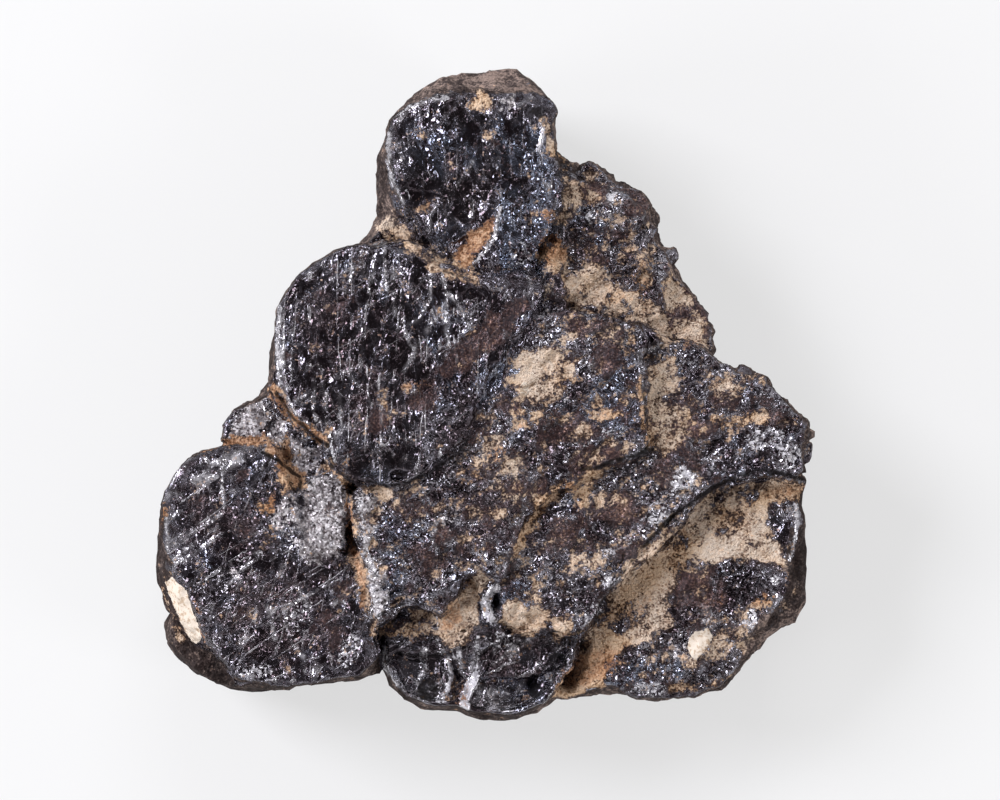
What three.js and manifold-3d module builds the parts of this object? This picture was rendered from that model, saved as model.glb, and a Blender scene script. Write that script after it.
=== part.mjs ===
// A loose cluster of tabular ilmenite crystals, grown together into one piece.
// Millimetres, +Z up. The cluster lies on its broadest side: the origin is on the resting
// face, under the middle of the outline, and the plates' basal faces look up.
import * as THREE from "three";
import { ConvexGeometry } from "three/addons/geometries/ConvexGeometry.js";
import { TessellateModifier } from "three/addons/modifiers/TessellateModifier.js";
import { ImprovedNoise } from "three/addons/math/ImprovedNoise.js";
import { mergeVertices } from "three/addons/utils/BufferGeometryUtils.js";
import Module from "manifold-3d";

// Heights of the upper basal faces above the resting face.
const DISC_TOP = 16.6;
const MID_TOP = 15.6;
const KNOB_TOP = 15.2;
const LEFT_TOP = 14.8;
const RIGHT_TOP = 14.2;
const ROUGH_TOP = 12.8;
const LOW_TOP = 11.6;
const BOTTOM_TOP = 12.6;

const STEP = 0.5; // a growth step: how far a plate stands on the crystal that carries it
const EDGE_BEVEL = 0.25; // the narrow bright bevel round a plate's face
const MERGE = 1e-4; // vertices closer than this are one
const DIVISIONS = 12; // the most times that an edge is halved
const FACET = 3.2; // the longest edge left after the surface is divided

const ORE = { color: 0x2b282c, roughness: 0.38, metalness: 0.7 };

const wasm = await Module();
wasm.setup();

// ---------------------------------------------------------------- solids

function toSolid(geometry) {
  const bare = geometry.clone();
  bare.deleteAttribute("normal");
  bare.deleteAttribute("uv");
  const merged = mergeVertices(bare, MERGE);
  return new wasm.Manifold(
    new wasm.Mesh({
      numProp: 3,
      vertProperties: new Float32Array(merged.attributes.position.array),
      triVerts: new Uint32Array(merged.index.array),
    }),
  );
}

function middle(outline) {
  const sum = outline.reduce(([x, y], p) => [x + p[0], y + p[1]], [0, 0]);
  return [sum[0] / outline.length, sum[1] / outline.length];
}

// Points of an outline at a height, sized about its middle and tilted by a slope.
function ring(outline, z, { scale = 1, slope = [0, 0] } = {}) {
  const [cx, cy] = middle(outline);
  return outline.map(([x, y]) => {
    const dx = (x - cx) * scale;
    const dy = (y - cy) * scale;
    return new THREE.Vector3(cx + dx, cy + dy, z + slope[0] * dx + slope[1] * dy);
  });
}

// An outline shrunk or grown about its own middle.
function resized(outline, scale) {
  return ring(outline, 0, { scale }).map((p) => [p.x, p.y]);
}

// A flat-faced crystal: an upper face, the girth that its bevels flare to, and a smaller foot.
function crystal({ face, top, girth, girthZ, foot, footScale = 0.8, slope }) {
  const points = [
    ...ring(face, top, { slope }),
    ...ring(girth, girthZ, { slope }),
    ...ring(girth, foot, { scale: footScale }),
  ];
  return toSolid(new ConvexGeometry(points));
}

// A plate with any outline, its edges bevelled outwards above and below.
function plate({ outline, top, thick, bevel = EDGE_BEVEL, drop = bevel, slope = [0, 0] }) {
  const shape = new THREE.Shape(outline.map(([x, y]) => new THREE.Vector2(x, y)));
  const geometry = new THREE.ExtrudeGeometry(shape, {
    depth: thick - 2 * drop,
    bevelEnabled: true,
    bevelSize: bevel,
    bevelThickness: drop,
    bevelSegments: 1,
  });
  const [cx, cy] = middle(outline);
  const p = geometry.attributes.position;
  for (let i = 0; i < p.count; i++) {
    const tilt = slope[0] * (p.getX(i) - cx) + slope[1] * (p.getY(i) - cy);
    p.setZ(i, p.getZ(i) + top - thick + drop + tilt);
  }
  return toSolid(geometry);
}

// A tabular crystal of even outline, set in the mass at any angle.
function tablet({ at, radius, thick, sides, tilt, turn }) {
  const geometry = new THREE.CylinderGeometry(radius * 0.82, radius, thick, sides);
  geometry.rotateX(Math.PI / 2);
  geometry.rotateZ(THREE.MathUtils.degToRad(turn));
  geometry.rotateX(THREE.MathUtils.degToRad(tilt[0]));
  geometry.rotateY(THREE.MathUtils.degToRad(tilt[1]));
  geometry.translate(...at);
  return toSolid(geometry);
}

// A blocky grain or, when it is cut away, a pit.
function lump({ at, size, turn = 0 }) {
  const geometry = new THREE.IcosahedronGeometry(1, 0);
  geometry.scale(...size);
  geometry.rotateZ(THREE.MathUtils.degToRad(turn));
  geometry.translate(...at);
  return toSolid(geometry);
}

// ---------------------------------------------------------------- the crystals

// The topmost crystal of the left side: a notched black face above a broad rusty wall.
function knob() {
  const face = [
    [-7.1, 21.9], [-5.8, 23], [-3.4, 23.6], [-1.1, 23.9], [3.6, 24.1], [4.9, 23.5],
    [5.6, 22.5], [5, 21.4], [4.6, 20.5], [4.7, 19.4], [5.3, 18.3], [6, 17], [5.9, 15.4],
    [4.9, 13], [3.9, 11.5], [3.6, 9.7], [-0.8, 9.3], [-2.5, 10.3], [-3.7, 11.1],
    [-4.2, 12.3], [-4.9, 13.3], [-6.3, 15.5], [-7, 17.3], [-7.5, 19.8],
  ];
  const wall = [
    [-7.8, 13.1], [-8.4, 14.5], [-8.6, 16.4], [-8.6, 18.8], [-7.8, 20.6], [-6.9, 22.8],
    [-5.7, 23.9], [-4.3, 24.8], [-3, 25.4], [-1.1, 25.6], [0.5, 25.9], [2.6, 26],
    [3.3, 25.2], [4, 24.4], [5.7, 22.9], [5.4, 21.2], [5.7, 18.8], [3.4, 10],
  ];
  return [
    crystal({
      face: resized(face, 0.97), top: KNOB_TOP - STEP, girth: wall, girthZ: 10.6,
      foot: 3.2, footScale: 0.72,
    }),
    plate({ outline: face, top: KNOB_TOP, thick: 3 }),
  ];
}

// The round plate in the middle of the left side, the highest of all.
function disc() {
  const face = [
    [-15.5, 7.9], [-14.4, 9.2], [-13, 10.4], [-11.4, 11.3], [-10, 11.8], [-6.5, 11.9],
    [-5.2, 11.4], [-4, 10.6], [-2.6, 9.9], [-1.4, 9.1], [1.3, 9.4], [3.5, 9.6], [4.5, 8.6],
    [4.1, 7], [3.1, 5.6], [1.7, 4.7], [1.1, 3.5], [0.1, 2.2], [-0.3, 0.6], [-0.9, -0.9],
    [-1.4, -2.7], [-2.2, -4], [-3.9, -4.9], [-6.2, -6.5], [-7.2, -7], [-8.7, -7],
    [-10.2, -6.5], [-11.3, -5.8], [-12.2, -4.9], [-12.4, -3.1], [-13.7, -2], [-14.8, -0.9],
    [-15.5, 0.7], [-16.1, 2.3], [-16.2, 4.9], [-16, 7],
  ];
  const girth = [
    [-8, 12.4], [-11.6, 11.8], [-14, 10.2], [-15.6, 8.7], [-16.6, 7.1], [-16.8, 4.5],
    [-17.1, 2], [-17.1, 0.4], [-15.9, -1.2], [-13.8, -3.4], [-4, -5], [0, 0], [1, 9],
  ];
  return [
    crystal({
      face: resized(girth, 0.93), top: DISC_TOP - STEP, girth, girthZ: 11.4,
      foot: 4.2, footScale: 0.8,
    }),
    plate({ outline: face, top: DISC_TOP, thick: 5.6, slope: [-0.012, 0.01] }),
  ];
}

// The large lower-left crystal, and the second one that it sits on.
function leftCrystal() {
  const face = [
    [-23.2, -5], [-24.4, -6.5], [-25.1, -7.6], [-25.2, -8.3], [-25, -9.5], [-25, -10.9],
    [-24.6, -12.4], [-24, -13.5], [-23.3, -14.6], [-23, -15.8], [-22.4, -17.2],
    [-21.8, -18.5], [-20.9, -19.7], [-20.3, -20.8], [-19.6, -21.7], [-18.4, -22.2],
    [-15.8, -22.3], [-13.4, -22.3], [-11.6, -21.9], [-10, -21.7], [-8.9, -20.8],
    [-8.2, -19.3], [-8.9, -17.8], [-9.3, -15.5], [-9.6, -13.8], [-10.2, -12.8],
    [-12.1, -12.8], [-14.3, -12.5], [-14.4, -9.7], [-15.2, -7.3], [-15.8, -6],
    [-15.9, -5.2], [-16.4, -4.2], [-17.3, -3.8], [-18.7, -3.9], [-20.6, -4.2], [-22.1, -4.6],
  ];
  const girth = [
    [-22.7, -4.2], [-24.3, -5.7], [-25.2, -7.1], [-25.9, -8.9], [-26.1, -11.4],
    [-26, -13.8], [-25.9, -15.4], [-25.2, -17], [-19.5, -22.8], [-14.7, -23],
    [-11.5, -22.8], [-8.3, -22.3], [-8, -20.2], [-9, -9], [-17, -3.4],
  ];
  const under = [
    [-25.4, -17.1], [-25.9, -18.1], [-25.9, -19.2], [-25, -20.5], [-23.6, -22.1],
    [-22.1, -22.9], [-20.4, -23.6], [-17.9, -23.7], [-15.6, -23.6], [-9, -20], [-12, -10],
    [-23.7, -15.5],
  ];
  return [
    crystal({
      face: resized(face, 0.96), top: LEFT_TOP - STEP, girth, girthZ: 9.4,
      foot: 4.6, footScale: 0.82,
    }),
    crystal({
      face: resized(under, 0.84), top: 9.6, girth: under, girthZ: 5.6, foot: 0.7,
      footScale: 0.72,
    }),
    plate({ outline: face, top: LEFT_TOP, thick: 2.6, slope: [0.01, 0.01] }),
  ];
}

// The three grey flakes wedged between the disc and the lower-left crystal.
function flakes() {
  const back = [
    [-20.7, -3.5], [-20.4, -2.2], [-19.6, -1], [-18.6, -0.4], [-17.2, 0.1], [-16.4, -1],
    [-15.3, -2.1], [-15.7, -4],
  ];
  const middleOne = [
    [-15.7, -2.1], [-14.5, -2.3], [-13.1, -3.2], [-12.2, -4.2], [-11.9, -5.9],
    [-12.8, -6.7], [-14, -6.9], [-14.8, -5.8], [-15.5, -3.9],
  ];
  const front = [
    [-12.9, -6.2], [-11.7, -5.8], [-11, -6.7], [-10.8, -8.1], [-10.9, -10.5],
    [-11.1, -11.9], [-12.5, -12.7], [-14.1, -12.8], [-14.4, -10.5], [-14.7, -8.5],
    [-14.2, -7.2],
  ];
  return [
    plate({
      outline: resized(back, 0.94), top: 12.8, thick: 7, bevel: 0.2, drop: 0.5,
      slope: [-0.03, -0.05],
    }),
    plate({ outline: middleOne, top: 13.3, thick: 6, bevel: 0.15, drop: 0.3 }),
    plate({ outline: front, top: 14.5, thick: 6, bevel: 0.2, drop: 0.4, slope: [0.05, -0.06] }),
  ];
}

// The broad plate in the middle, with a square corner over the right-hand plates.
function midPlate() {
  const outline = [
    [-9.9, -7.8], [-8.8, -7.2], [-6.6, -6.7], [-4.6, -5.4], [-1.9, -4], [-0.7, -0.6],
    [0.3, 2.3], [1.7, 4.6], [4.4, 6.2], [7.2, 6.7], [9.6, 6], [12.3, 5.3], [12.5, 2.9],
    [12.7, -0.2], [12.9, -4.3], [11.1, -4.8], [9.1, -5.5], [6.9, -6.5], [5, -7.5],
    [3.8, -8.6], [2.8, -9.8], [2.3, -11.6], [1.9, -13.2], [1.3, -14.1], [-0.3, -13.7],
    [-1.5, -14], [-2.5, -15.9], [-3.4, -16.9], [-4.7, -16.4], [-6.2, -16.2], [-8.1, -17.7],
    [-8.6, -15.9], [-9.1, -14], [-9.7, -12], [-10, -10],
  ];
  return [
    plate({ outline, top: MID_TOP, thick: 7, bevel: 0.3, drop: 0.35, slope: [-0.015, 0.02] }),
    crystal({
      face: resized(outline, 0.8), top: MID_TOP - 6, girth: resized(outline, 0.9),
      girthZ: 6, foot: 1.5, footScale: 0.7,
    }),
  ];
}

// The long right-hand plate that slopes out to the ragged edge.
function rightPlate() {
  const outline = [
    [12.3, 5.7], [14, 4.5], [17, 3.8], [18.4, 2.6], [19.8, 1.9], [22, 1.4], [22.9, 0.2],
    [24.2, -1], [25.2, -2.3], [25, -3.5], [24.7, -4.6], [24.8, -5.8], [24.4, -6.7],
    [23.3, -6.4], [21.8, -6.2], [19.8, -6.7], [18, -7.3], [16.8, -8.1], [15.8, -9.7],
    [14, -11.7], [12.3, -13], [10.3, -14.8], [8.9, -16], [8.4, -17.7], [7.4, -19.1],
    [4.4, -18.5], [1.7, -19.1], [-0.3, -16], [-1.1, -11.3], [1.3, -3.4], [6, 5.3],
  ];
  return [
    plate({ outline, top: RIGHT_TOP, thick: 3.4, drop: 0.5, slope: [-0.02, 0.015] }),
  ];
}

// The low plate under it, with a bay of clay on its upper face and a black rim.
function lowPlate() {
  const outline = [
    [25.1, -6.4], [24.8, -8.2], [25, -9.8], [25.2, -11.7], [25.3, -14.1], [25.3, -16.3],
    [24.6, -17.5], [23.4, -18], [22.3, -18.7], [21.4, -20], [20.4, -21.1],
    [19.4, -22.2], [18.6, -23], [16.1, -23.6], [13.5, -23.9], [12, -23.5], [10.2, -23],
    [8.4, -23.4], [6.2, -23.8], [4.5, -23.2], [2.9, -19.3], [6, -12.9], [12.4, -6.6],
    [18.7, -3.4],
  ];
  const rim = [
    [8.4, -23], [10.5, -20.9], [13, -19], [15, -18.3], [17.5, -18], [19.5, -16.4],
    [22, -13.2], [23.9, -12.6], [24.6, -14.5], [23.3, -16.8], [21.3, -18.6], [19.4, -20.6],
    [16.8, -22.2], [13.6, -22.8], [11, -22.6],
  ];
  return [
    plate({
      outline: resized(outline, 0.985), top: LOW_TOP, thick: 4.6, bevel: 0.5, drop: 1.3,
      slope: [0.03, 0],
    }),
    crystal({
      face: resized(outline, 0.9), top: LOW_TOP - 1, girth: outline, girthZ: 7.2,
      foot: 0.9, footScale: 0.76,
    }),
    plate({
      outline: rim, top: LOW_TOP + 0.7, thick: 2.4, bevel: 0.3, drop: 0.5,
      slope: [0.03, 0.02],
    }),
  ];
}

// The low, corroded upper-right part.
function roughPart() {
  const outline = [
    [5.1, 20.3], [5.4, 18.9], [6.7, 18.1], [7.4, 17.5], [8.4, 18.3], [9.2, 17.8],
    [10.1, 16.7], [11.6, 16.4], [12.7, 15.6], [13.4, 14.5], [13.3, 13.4], [13.5, 12.2],
    [14.3, 11.5], [14.8, 9.6], [16, 8.6], [17.1, 7.2], [17.8, 5.3], [18, 3.6], [17.1, 1.3],
    [9.2, 2.9], [3.7, 6.1], [2.1, 11.6], [2.9, 18.7],
  ];
  const shelf = [
    [4.6, 18.4], [7, 17], [10.6, 15.7], [12.6, 14.6], [12.4, 13], [9, 12.3], [5.6, 12.4],
  ];
  const scar = [
    [5.2, 11.4], [9, 11.2], [12.6, 10.8], [14, 8.2], [12.8, 6], [8, 7.2], [5, 8.2],
  ];
  return [
    plate({ outline, top: ROUGH_TOP, thick: 5.2, bevel: 0.3, drop: 0.9, slope: [-0.09, -0.01] }),
    plate({
      outline: shelf, top: ROUGH_TOP + 0.9, thick: 2.2, bevel: 0.5, drop: 0.6,
      slope: [-0.05, 0.03],
    }),
    plate({
      outline: scar, top: ROUGH_TOP + 1.1, thick: 2.2, bevel: 0.6, drop: 0.6,
      slope: [-0.1, 0],
    }),
    crystal({
      face: resized(outline, 0.8), top: ROUGH_TOP - 2.5, girth: resized(outline, 0.94),
      girthZ: 7.6, foot: 3.4, footScale: 0.72,
    }),
  ];
}

// The two glassy crystals that stand out at the bottom edge.
function bottomCrystals() {
  const left = [
    [-8.1, -19.4], [-7.9, -21.1], [-7.3, -22.8], [-6.2, -24], [-4.7, -24.7], [-3.1, -24.8],
    [-1.6, -24.8], [-0.3, -24], [0.3, -20.8], [-0.9, -19.2], [-3.5, -18.6], [-6.5, -18.7],
  ];
  const right = [
    [-2.5, -24.6], [-1.1, -25.3], [0.5, -25.6], [2.5, -25.6], [4, -25.1], [5.1, -24.5],
    [5.7, -23.5], [6.8, -22.4], [7.9, -20.5], [8.2, -19.2], [7.4, -18.3], [4.8, -18.6],
    [2.9, -18.1], [0.9, -18.9], [-0.3, -20], [-1.7, -22.5],
  ];
  return [
    crystal({
      face: resized(left, 0.84), top: BOTTOM_TOP, girth: resized(left, 1.13), girthZ: 8.6,
      foot: 4.4, footScale: 0.7, slope: [0, 0.05],
    }),
    crystal({
      face: resized(right, 0.85), top: BOTTOM_TOP + 0.6, girth: resized(right, 1.05), girthZ: 9,
      foot: 3.2, footScale: 0.66, slope: [-0.03, 0.08],
    }),
  ];
}

// The lower crystals that the plates grew on. The foot of the broad one is the flat face
// that the cluster rests on.
function lowerCrystals() {
  const broad = [
    [-6, 19.5], [3.5, 19.5], [11.5, 12.5], [15.5, 4.5], [21.5, -2], [22, -14.5], [16, -20.5],
    [4, -22], [-6, -20.5], [-19, -19], [-22, -11], [-16.5, -2], [-12, 7],
  ];
  const upper = [
    [-6, 18], [2, 18], [4, 8], [11, 4], [11, -4], [2, -9], [4, -18], [-3, -20], [-11, -19],
    [-22, -17], [-22, -7], [-15, -1], [-14, 7],
  ];
  return [
    crystal({
      face: resized(broad, 0.86), top: 10.6, girth: broad, girthZ: 5.8, foot: 0, footScale: 0.6,
    }),
    crystal({ face: resized(upper, 0.94), top: 12.5, girth: upper, girthZ: 8, foot: 4 }),
  ];
}

// Tabular crystals that show on the walls and the underside.
const TABLETS = [
  { at: [-11.2, 3.5, 5.6], radius: 5.2, thick: 4.2, sides: 9, tilt: [12, 24], turn: 10 },
  { at: [-2, 16.4, 5.4], radius: 6, thick: 3.6, sides: 8, tilt: [-16, 8], turn: 35 },
  { at: [7.4, 10.2, 5.4], radius: 6.2, thick: 3.8, sides: 7, tilt: [-20, -14], turn: 5 },
  { at: [19, -8, 4.8], radius: 5.6, thick: 3.4, sides: 8, tilt: [6, -22], turn: 20 },
  { at: [12.5, -17, 4.4], radius: 5.8, thick: 3.2, sides: 9, tilt: [18, -8], turn: 0 },
  { at: [-1, -19, 5], radius: 5.4, thick: 3.4, sides: 7, tilt: [22, 6], turn: 20 },
  { at: [-18, -11, 4.4], radius: 6.6, thick: 3.6, sides: 8, tilt: [4, 16], turn: 25 },
];

// Sharp grains along the ragged edges: a run of them from one point to another.
const GRAIN_RUNS = [
  { from: [5.2, 19.2, 11.6], to: [8.6, 17.5, 11.8], count: 5, size: 0.6 },
  { from: [14.6, 10.8, 10.6], to: [17.9, 4.4, 10.4], count: 9, size: 0.6 },
  { from: [20.4, 1.6, 12.6], to: [25.1, -2, 12.2], count: 6, size: 0.7 },
  { from: [25.3, -3.2, 12.3], to: [24.8, -7.8, 10.6], count: 7, size: 0.6 },
  { from: [-2.4, -17.9, 12.2], to: [6.8, -18.3, 12.6], count: 8, size: 0.9 },
  { from: [10.4, -22.4, 10.8], to: [19, -21.6, 10.9], count: 8, size: 0.7 },
];

function grains() {
  return GRAIN_RUNS.flatMap(({ from, to, count, size }, run) => {
    const start = new THREE.Vector3(...from);
    const end = new THREE.Vector3(...to);
    return Array.from({ length: count }, (_, i) => {
      const p = start.clone().lerp(end, i / (count - 1));
      const swing = Math.sin(5.3 * i + run);
      const s = size * (1 + 0.35 * swing);
      return lump({
        at: [p.x + 0.3 * swing, p.y + 0.25 * Math.cos(3.1 * i), p.z],
        size: [s, 0.8 * s, s],
        turn: 47 * i,
      });
    });
  });
}

// Hollows broken or etched out of the faces.
const PITS = [
  { at: [0.6, -16.1, 15.2], size: [0.9, 1.5, 2.2], turn: -12 }, // by the crescent
  { at: [-20.2, -13.5, 15.3], size: [0.7, 0.6, 1], turn: 20 }, // a triangular etch pit
  { at: [-17.1, -6.6, 15.2], size: [0.8, 0.6, 0.9], turn: 50 },
  { at: [-6.1, 14.7, 15.4], size: [1.1, 0.7, 1], turn: 30 }, // rust hollow in the knob
  { at: [-1.7, 11.7, 15.6], size: [0.8, 2.1, 1.2], turn: -32 },
  { at: [-3.2, 3.2, 17], size: [7.4, 1.2, 0.7], turn: 38 }, // the rusty groove of the disc
  { at: [-3.3, -18.2, 13.6], size: [2.2, 1, 1.4], turn: 10 }, // clay below the middle plate
  { at: [4.6, -17.6, 14.6], size: [2.7, 0.9, 1.1], turn: -6 },
  { at: [4.3, 0.8, 16.2], size: [1.9, 1.3, 1.1], turn: 40 }, // clay patch on the middle plate
  { at: [6.9, 11.2, 13.9], size: [1.6, 1.9, 1.2], turn: 0 },
  { at: [9.3, 8.2, 14.2], size: [2, 1.1, 1], turn: 25 },
  { at: [10.5, -13, 14.4], size: [1.6, 0.7, 0.8], turn: 38 },
];

// ---------------------------------------------------------------- natural unevenness

const noise = new ImprovedNoise();
const SWELL = { length: 7, across: 0.22, up: 0.26 }; // broad unevenness
const CRUMPLE = { length: 2.3, across: 0.1, up: 0.15 }; // fine unevenness
const ROUGH_GAIN = 1.3; // how much more the corroded part is crumpled
const ROUGH_CENTRE = [11, 9];
const ROUGH_REACH = 11; // from its centre to where the gain is gone
const FLOOR_BLEND = 2; // height over which the resting face fades into the uneven wall

function wave(p, length, seed) {
  return noise.noise(p.x / length + seed, p.y / length - seed, p.z / length + 2 * seed);
}

function uneven(geometry) {
  const position = geometry.attributes.position;
  const p = new THREE.Vector3();
  for (let i = 0; i < position.count; i++) {
    p.fromBufferAttribute(position, i);
    const far = Math.hypot(p.x - ROUGH_CENTRE[0], p.y - ROUGH_CENTRE[1]);
    const rough = 1 + ROUGH_GAIN * THREE.MathUtils.smoothstep(ROUGH_REACH - far, 0, ROUGH_REACH / 2);
    const lift = THREE.MathUtils.smoothstep(p.z, 0, FLOOR_BLEND);
    const shift = ["x", "y", "z"].map((axis, k) => {
      const swell = axis === "z" ? SWELL.up : SWELL.across;
      const crumple = axis === "z" ? CRUMPLE.up : CRUMPLE.across;
      return swell * wave(p, SWELL.length, 11.3 * (k + 1))
        + rough * crumple * wave(p, CRUMPLE.length, 5.7 * (k + 1));
    });
    position.setXYZ(i, p.x + shift[0] * lift, p.y + shift[1] * lift, p.z + shift[2] * lift);
  }
}

// ---------------------------------------------------------------- the whole cluster

function clusterSolid() {
  const grown = [
    lowerCrystals(), knob(), disc(), leftCrystal(), flakes(), midPlate(), rightPlate(),
    lowPlate(), roughPart(), bottomCrystals(), TABLETS.map(tablet), grains(),
  ].flat();
  const whole = grown.reduce((sum, next) => sum.add(next));
  return PITS.map(lump).reduce((left, pit) => left.subtract(pit), whole);
}

function toGeometry(solid) {
  const mesh = solid.getMesh();
  const geometry = new THREE.BufferGeometry();
  geometry.setAttribute("position", new THREE.BufferAttribute(mesh.vertProperties, 3));
  geometry.setIndex(new THREE.BufferAttribute(mesh.triVerts, 1));
  return geometry;
}

// Divides the surface, makes it uneven, and centres it over the origin.
function clusterGeometry() {
  const coarse = toGeometry(clusterSolid()).toNonIndexed();
  const divided = mergeVertices(new TessellateModifier(FACET, DIVISIONS).modify(coarse), MERGE);
  uneven(divided);
  divided.computeBoundingBox();
  const box = divided.boundingBox;
  divided.translate(-(box.min.x + box.max.x) / 2, -(box.min.y + box.max.y) / 2, -box.min.z);
  divided.computeVertexNormals();
  return divided;
}

const cluster = new THREE.Mesh(clusterGeometry(), new THREE.MeshStandardMaterial(ORE));
cluster.name = "ilmenite_cluster";

const part = new THREE.Group();
part.add(cluster);

export default part;
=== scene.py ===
"""A loose cluster of tabular ilmenite crystals on a pale table, lit as in a studio.

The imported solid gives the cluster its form. This script divides its surface finely, carves
the growth steps, etch marks, seams and broken grain into it, and finishes it as black
submetallic ore with rust films, orange stains, clay, grey flakes and a pale grain.
"""
import math

import bmesh
import bpy
import numpy as np
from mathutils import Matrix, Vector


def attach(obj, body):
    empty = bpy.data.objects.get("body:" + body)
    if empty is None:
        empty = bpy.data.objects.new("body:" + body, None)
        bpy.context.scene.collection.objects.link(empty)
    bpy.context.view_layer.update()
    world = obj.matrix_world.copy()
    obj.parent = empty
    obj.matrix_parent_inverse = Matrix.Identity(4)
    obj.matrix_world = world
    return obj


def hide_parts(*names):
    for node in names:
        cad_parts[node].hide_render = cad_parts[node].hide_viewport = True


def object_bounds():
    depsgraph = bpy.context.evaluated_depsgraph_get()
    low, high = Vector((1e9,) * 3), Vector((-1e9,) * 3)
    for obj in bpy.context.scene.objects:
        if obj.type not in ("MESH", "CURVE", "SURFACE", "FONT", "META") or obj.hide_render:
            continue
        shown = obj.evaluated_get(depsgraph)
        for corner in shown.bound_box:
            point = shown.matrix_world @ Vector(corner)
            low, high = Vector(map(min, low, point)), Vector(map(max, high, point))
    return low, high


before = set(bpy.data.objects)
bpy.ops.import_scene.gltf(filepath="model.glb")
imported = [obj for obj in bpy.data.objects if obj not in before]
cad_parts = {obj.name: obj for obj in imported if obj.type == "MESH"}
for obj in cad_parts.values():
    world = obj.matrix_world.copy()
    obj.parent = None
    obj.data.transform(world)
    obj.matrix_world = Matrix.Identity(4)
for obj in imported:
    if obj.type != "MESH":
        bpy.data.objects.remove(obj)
CAD_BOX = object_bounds()

MM = 0.001  # metres in a millimetre
NODE = "ilmenite_cluster"

# ------------------------------------------------------------------ the camera's frame
# The camera looks straight down. Places on the cluster's upper side are given in frame
# units, 1000 across by 800 down, and are carried along the view rays to the surface.

FRAME_WIDTH, FRAME_HEIGHT = 1000, 800
EYE = np.array([1.23, -0.36, 400.0])  # mm
SHARP_HEIGHT = 8.0  # mm above the table, where a frame unit is exactly UNIT
UNIT = 0.08  # mm
SENSOR = 36.0  # mm


def to_frame(points):
    """Frame coordinates (across, down) of points in mm."""
    unit = UNIT * (EYE[2] - points[:, 2]) / (EYE[2] - SHARP_HEIGHT)
    across = FRAME_WIDTH / 2 + (points[:, 0] - EYE[0]) / unit
    down = FRAME_HEIGHT / 2 - (points[:, 1] - EYE[1]) / unit
    return np.stack([across, down], 1)


# ------------------------------------------------------------------ noise on points

GRADIENTS = np.array(
    [(x, y, z) for x in (-1, 0, 1) for y in (-1, 0, 1) for z in (-1, 0, 1)
     if abs(x) + abs(y) + abs(z) == 2], np.float32)


def scramble(cell, seed):
    """A random whole number for each integer cell (N, 3)."""
    with np.errstate(over="ignore"):
        h = (cell[:, 0] * np.uint32(73856093)) ^ (cell[:, 1] * np.uint32(19349663))
        h ^= (cell[:, 2] * np.uint32(83492791)) ^ np.uint32(seed * 2654435761 % 2**32)
        h = (h ^ (h >> np.uint32(15))) * np.uint32(2246822519)
        h = (h ^ (h >> np.uint32(13))) * np.uint32(3266489917)
    return h ^ (h >> np.uint32(16))


def split(points):
    """The integer cell of each point, and its place in that cell."""
    base = np.floor(points)
    return base.astype(np.int64).astype(np.uint32), (points - base).astype(np.float32)


def noise(points, size, seed=0):
    """Smooth gradient noise with features of the given size, spread about 0.35 round 0."""
    cell, part = split(points / np.asarray(size, float))
    fade = part * part * part * (part * (part * 6 - 15) + 10)
    total = np.zeros(len(points), np.float32)
    for corner in ((i, j, k) for i in (0, 1) for j in (0, 1) for k in (0, 1)):
        corner = np.array(corner)
        slope = GRADIENTS[scramble(cell + corner.astype(np.uint32), seed) % 12]
        weight = np.prod(np.where(corner == 1, fade, 1 - fade), 1)
        total += weight * ((part - corner) * slope).sum(1)
    return total * 1.3


def fractal(points, size, octaves=4, seed=0, gain=0.5):
    """Noise in several sizes, the largest first, with a spread of 1 round 0."""
    total, height, power = 0.0, 1.0, 0.0
    for octave in range(octaves):
        total = total + height * noise(points, np.asarray(size, float) / 2**octave, seed + octave)
        power += height * height
        height *= gain
    return total / (0.352 * math.sqrt(power))


def ridged(points, size, octaves=3, seed=0):
    """Sharp crests, 0 to 1."""
    total, height, norm = 0.0, 1.0, 0.0
    for octave in range(octaves):
        wave = 1 - np.abs(noise(points, np.asarray(size, float) / 2**octave, seed + octave))
        total = total + height * wave * wave
        norm += height
        height *= 0.5
    return total / norm


def ramp(low, high, value):
    """0 below low, 1 above high, smooth between. low may be above high."""
    t = np.clip((value - low) / (high - low), 0, 1)
    return t * t * (3 - 2 * t)


def grains_near(points, size, seed):
    """For each of the 27 grains round every point: its random whole number, and how far its
    middle is from the point, in cells."""
    cell, part = split(points / np.asarray(size, float))
    for step in ((i, j, k) for i in (-1, 0, 1) for j in (-1, 0, 1) for k in (-1, 0, 1)):
        step = np.array(step)
        h = scramble(cell + step.astype(np.int64).astype(np.uint32), seed)
        jitter = np.stack([(h >> s & 255) / 255.0 for s in (0, 8, 16)], 1)
        yield h, part - (step + jitter)


def scallops(points, size, tilt, lift, bow, seed):
    """Heights in mm of shallow bowls that meet in sharp crests, each tilted its own way. bow
    is the slope a bowl reaches one size away from its middle."""
    size = np.asarray(size, float)
    lowest = np.full(len(points), 9.0, np.float32)
    for h, away in grains_near(points, size, seed):
        again = scramble(np.stack([h] * 3, 1), seed + 1)
        own = np.stack([(again >> s & 1023) / 511.5 - 1 for s in (0, 10, 20)], 1)
        away = away * size
        level = lift * own[:, 2] + tilt * (own[:, :2] * away[:, :2]).sum(1)
        level += bow / (2 * size.min()) * (away * away).sum(1)
        lowest = np.minimum(lowest, level.astype(np.float32))
    return lowest


def domains(points, size, seed):
    """A random number from 0 to 1 for the irregular grain that each point lies in."""
    nearest = np.full(len(points), 9.0, np.float32)
    number = np.zeros(len(points), np.float32)
    for h, away in grains_near(points, size, seed):
        far = (away ** 2).sum(1)
        number = np.where(far < nearest, (h >> 24) / 255.0, number)
        nearest = np.minimum(nearest, far)
    return number


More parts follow.
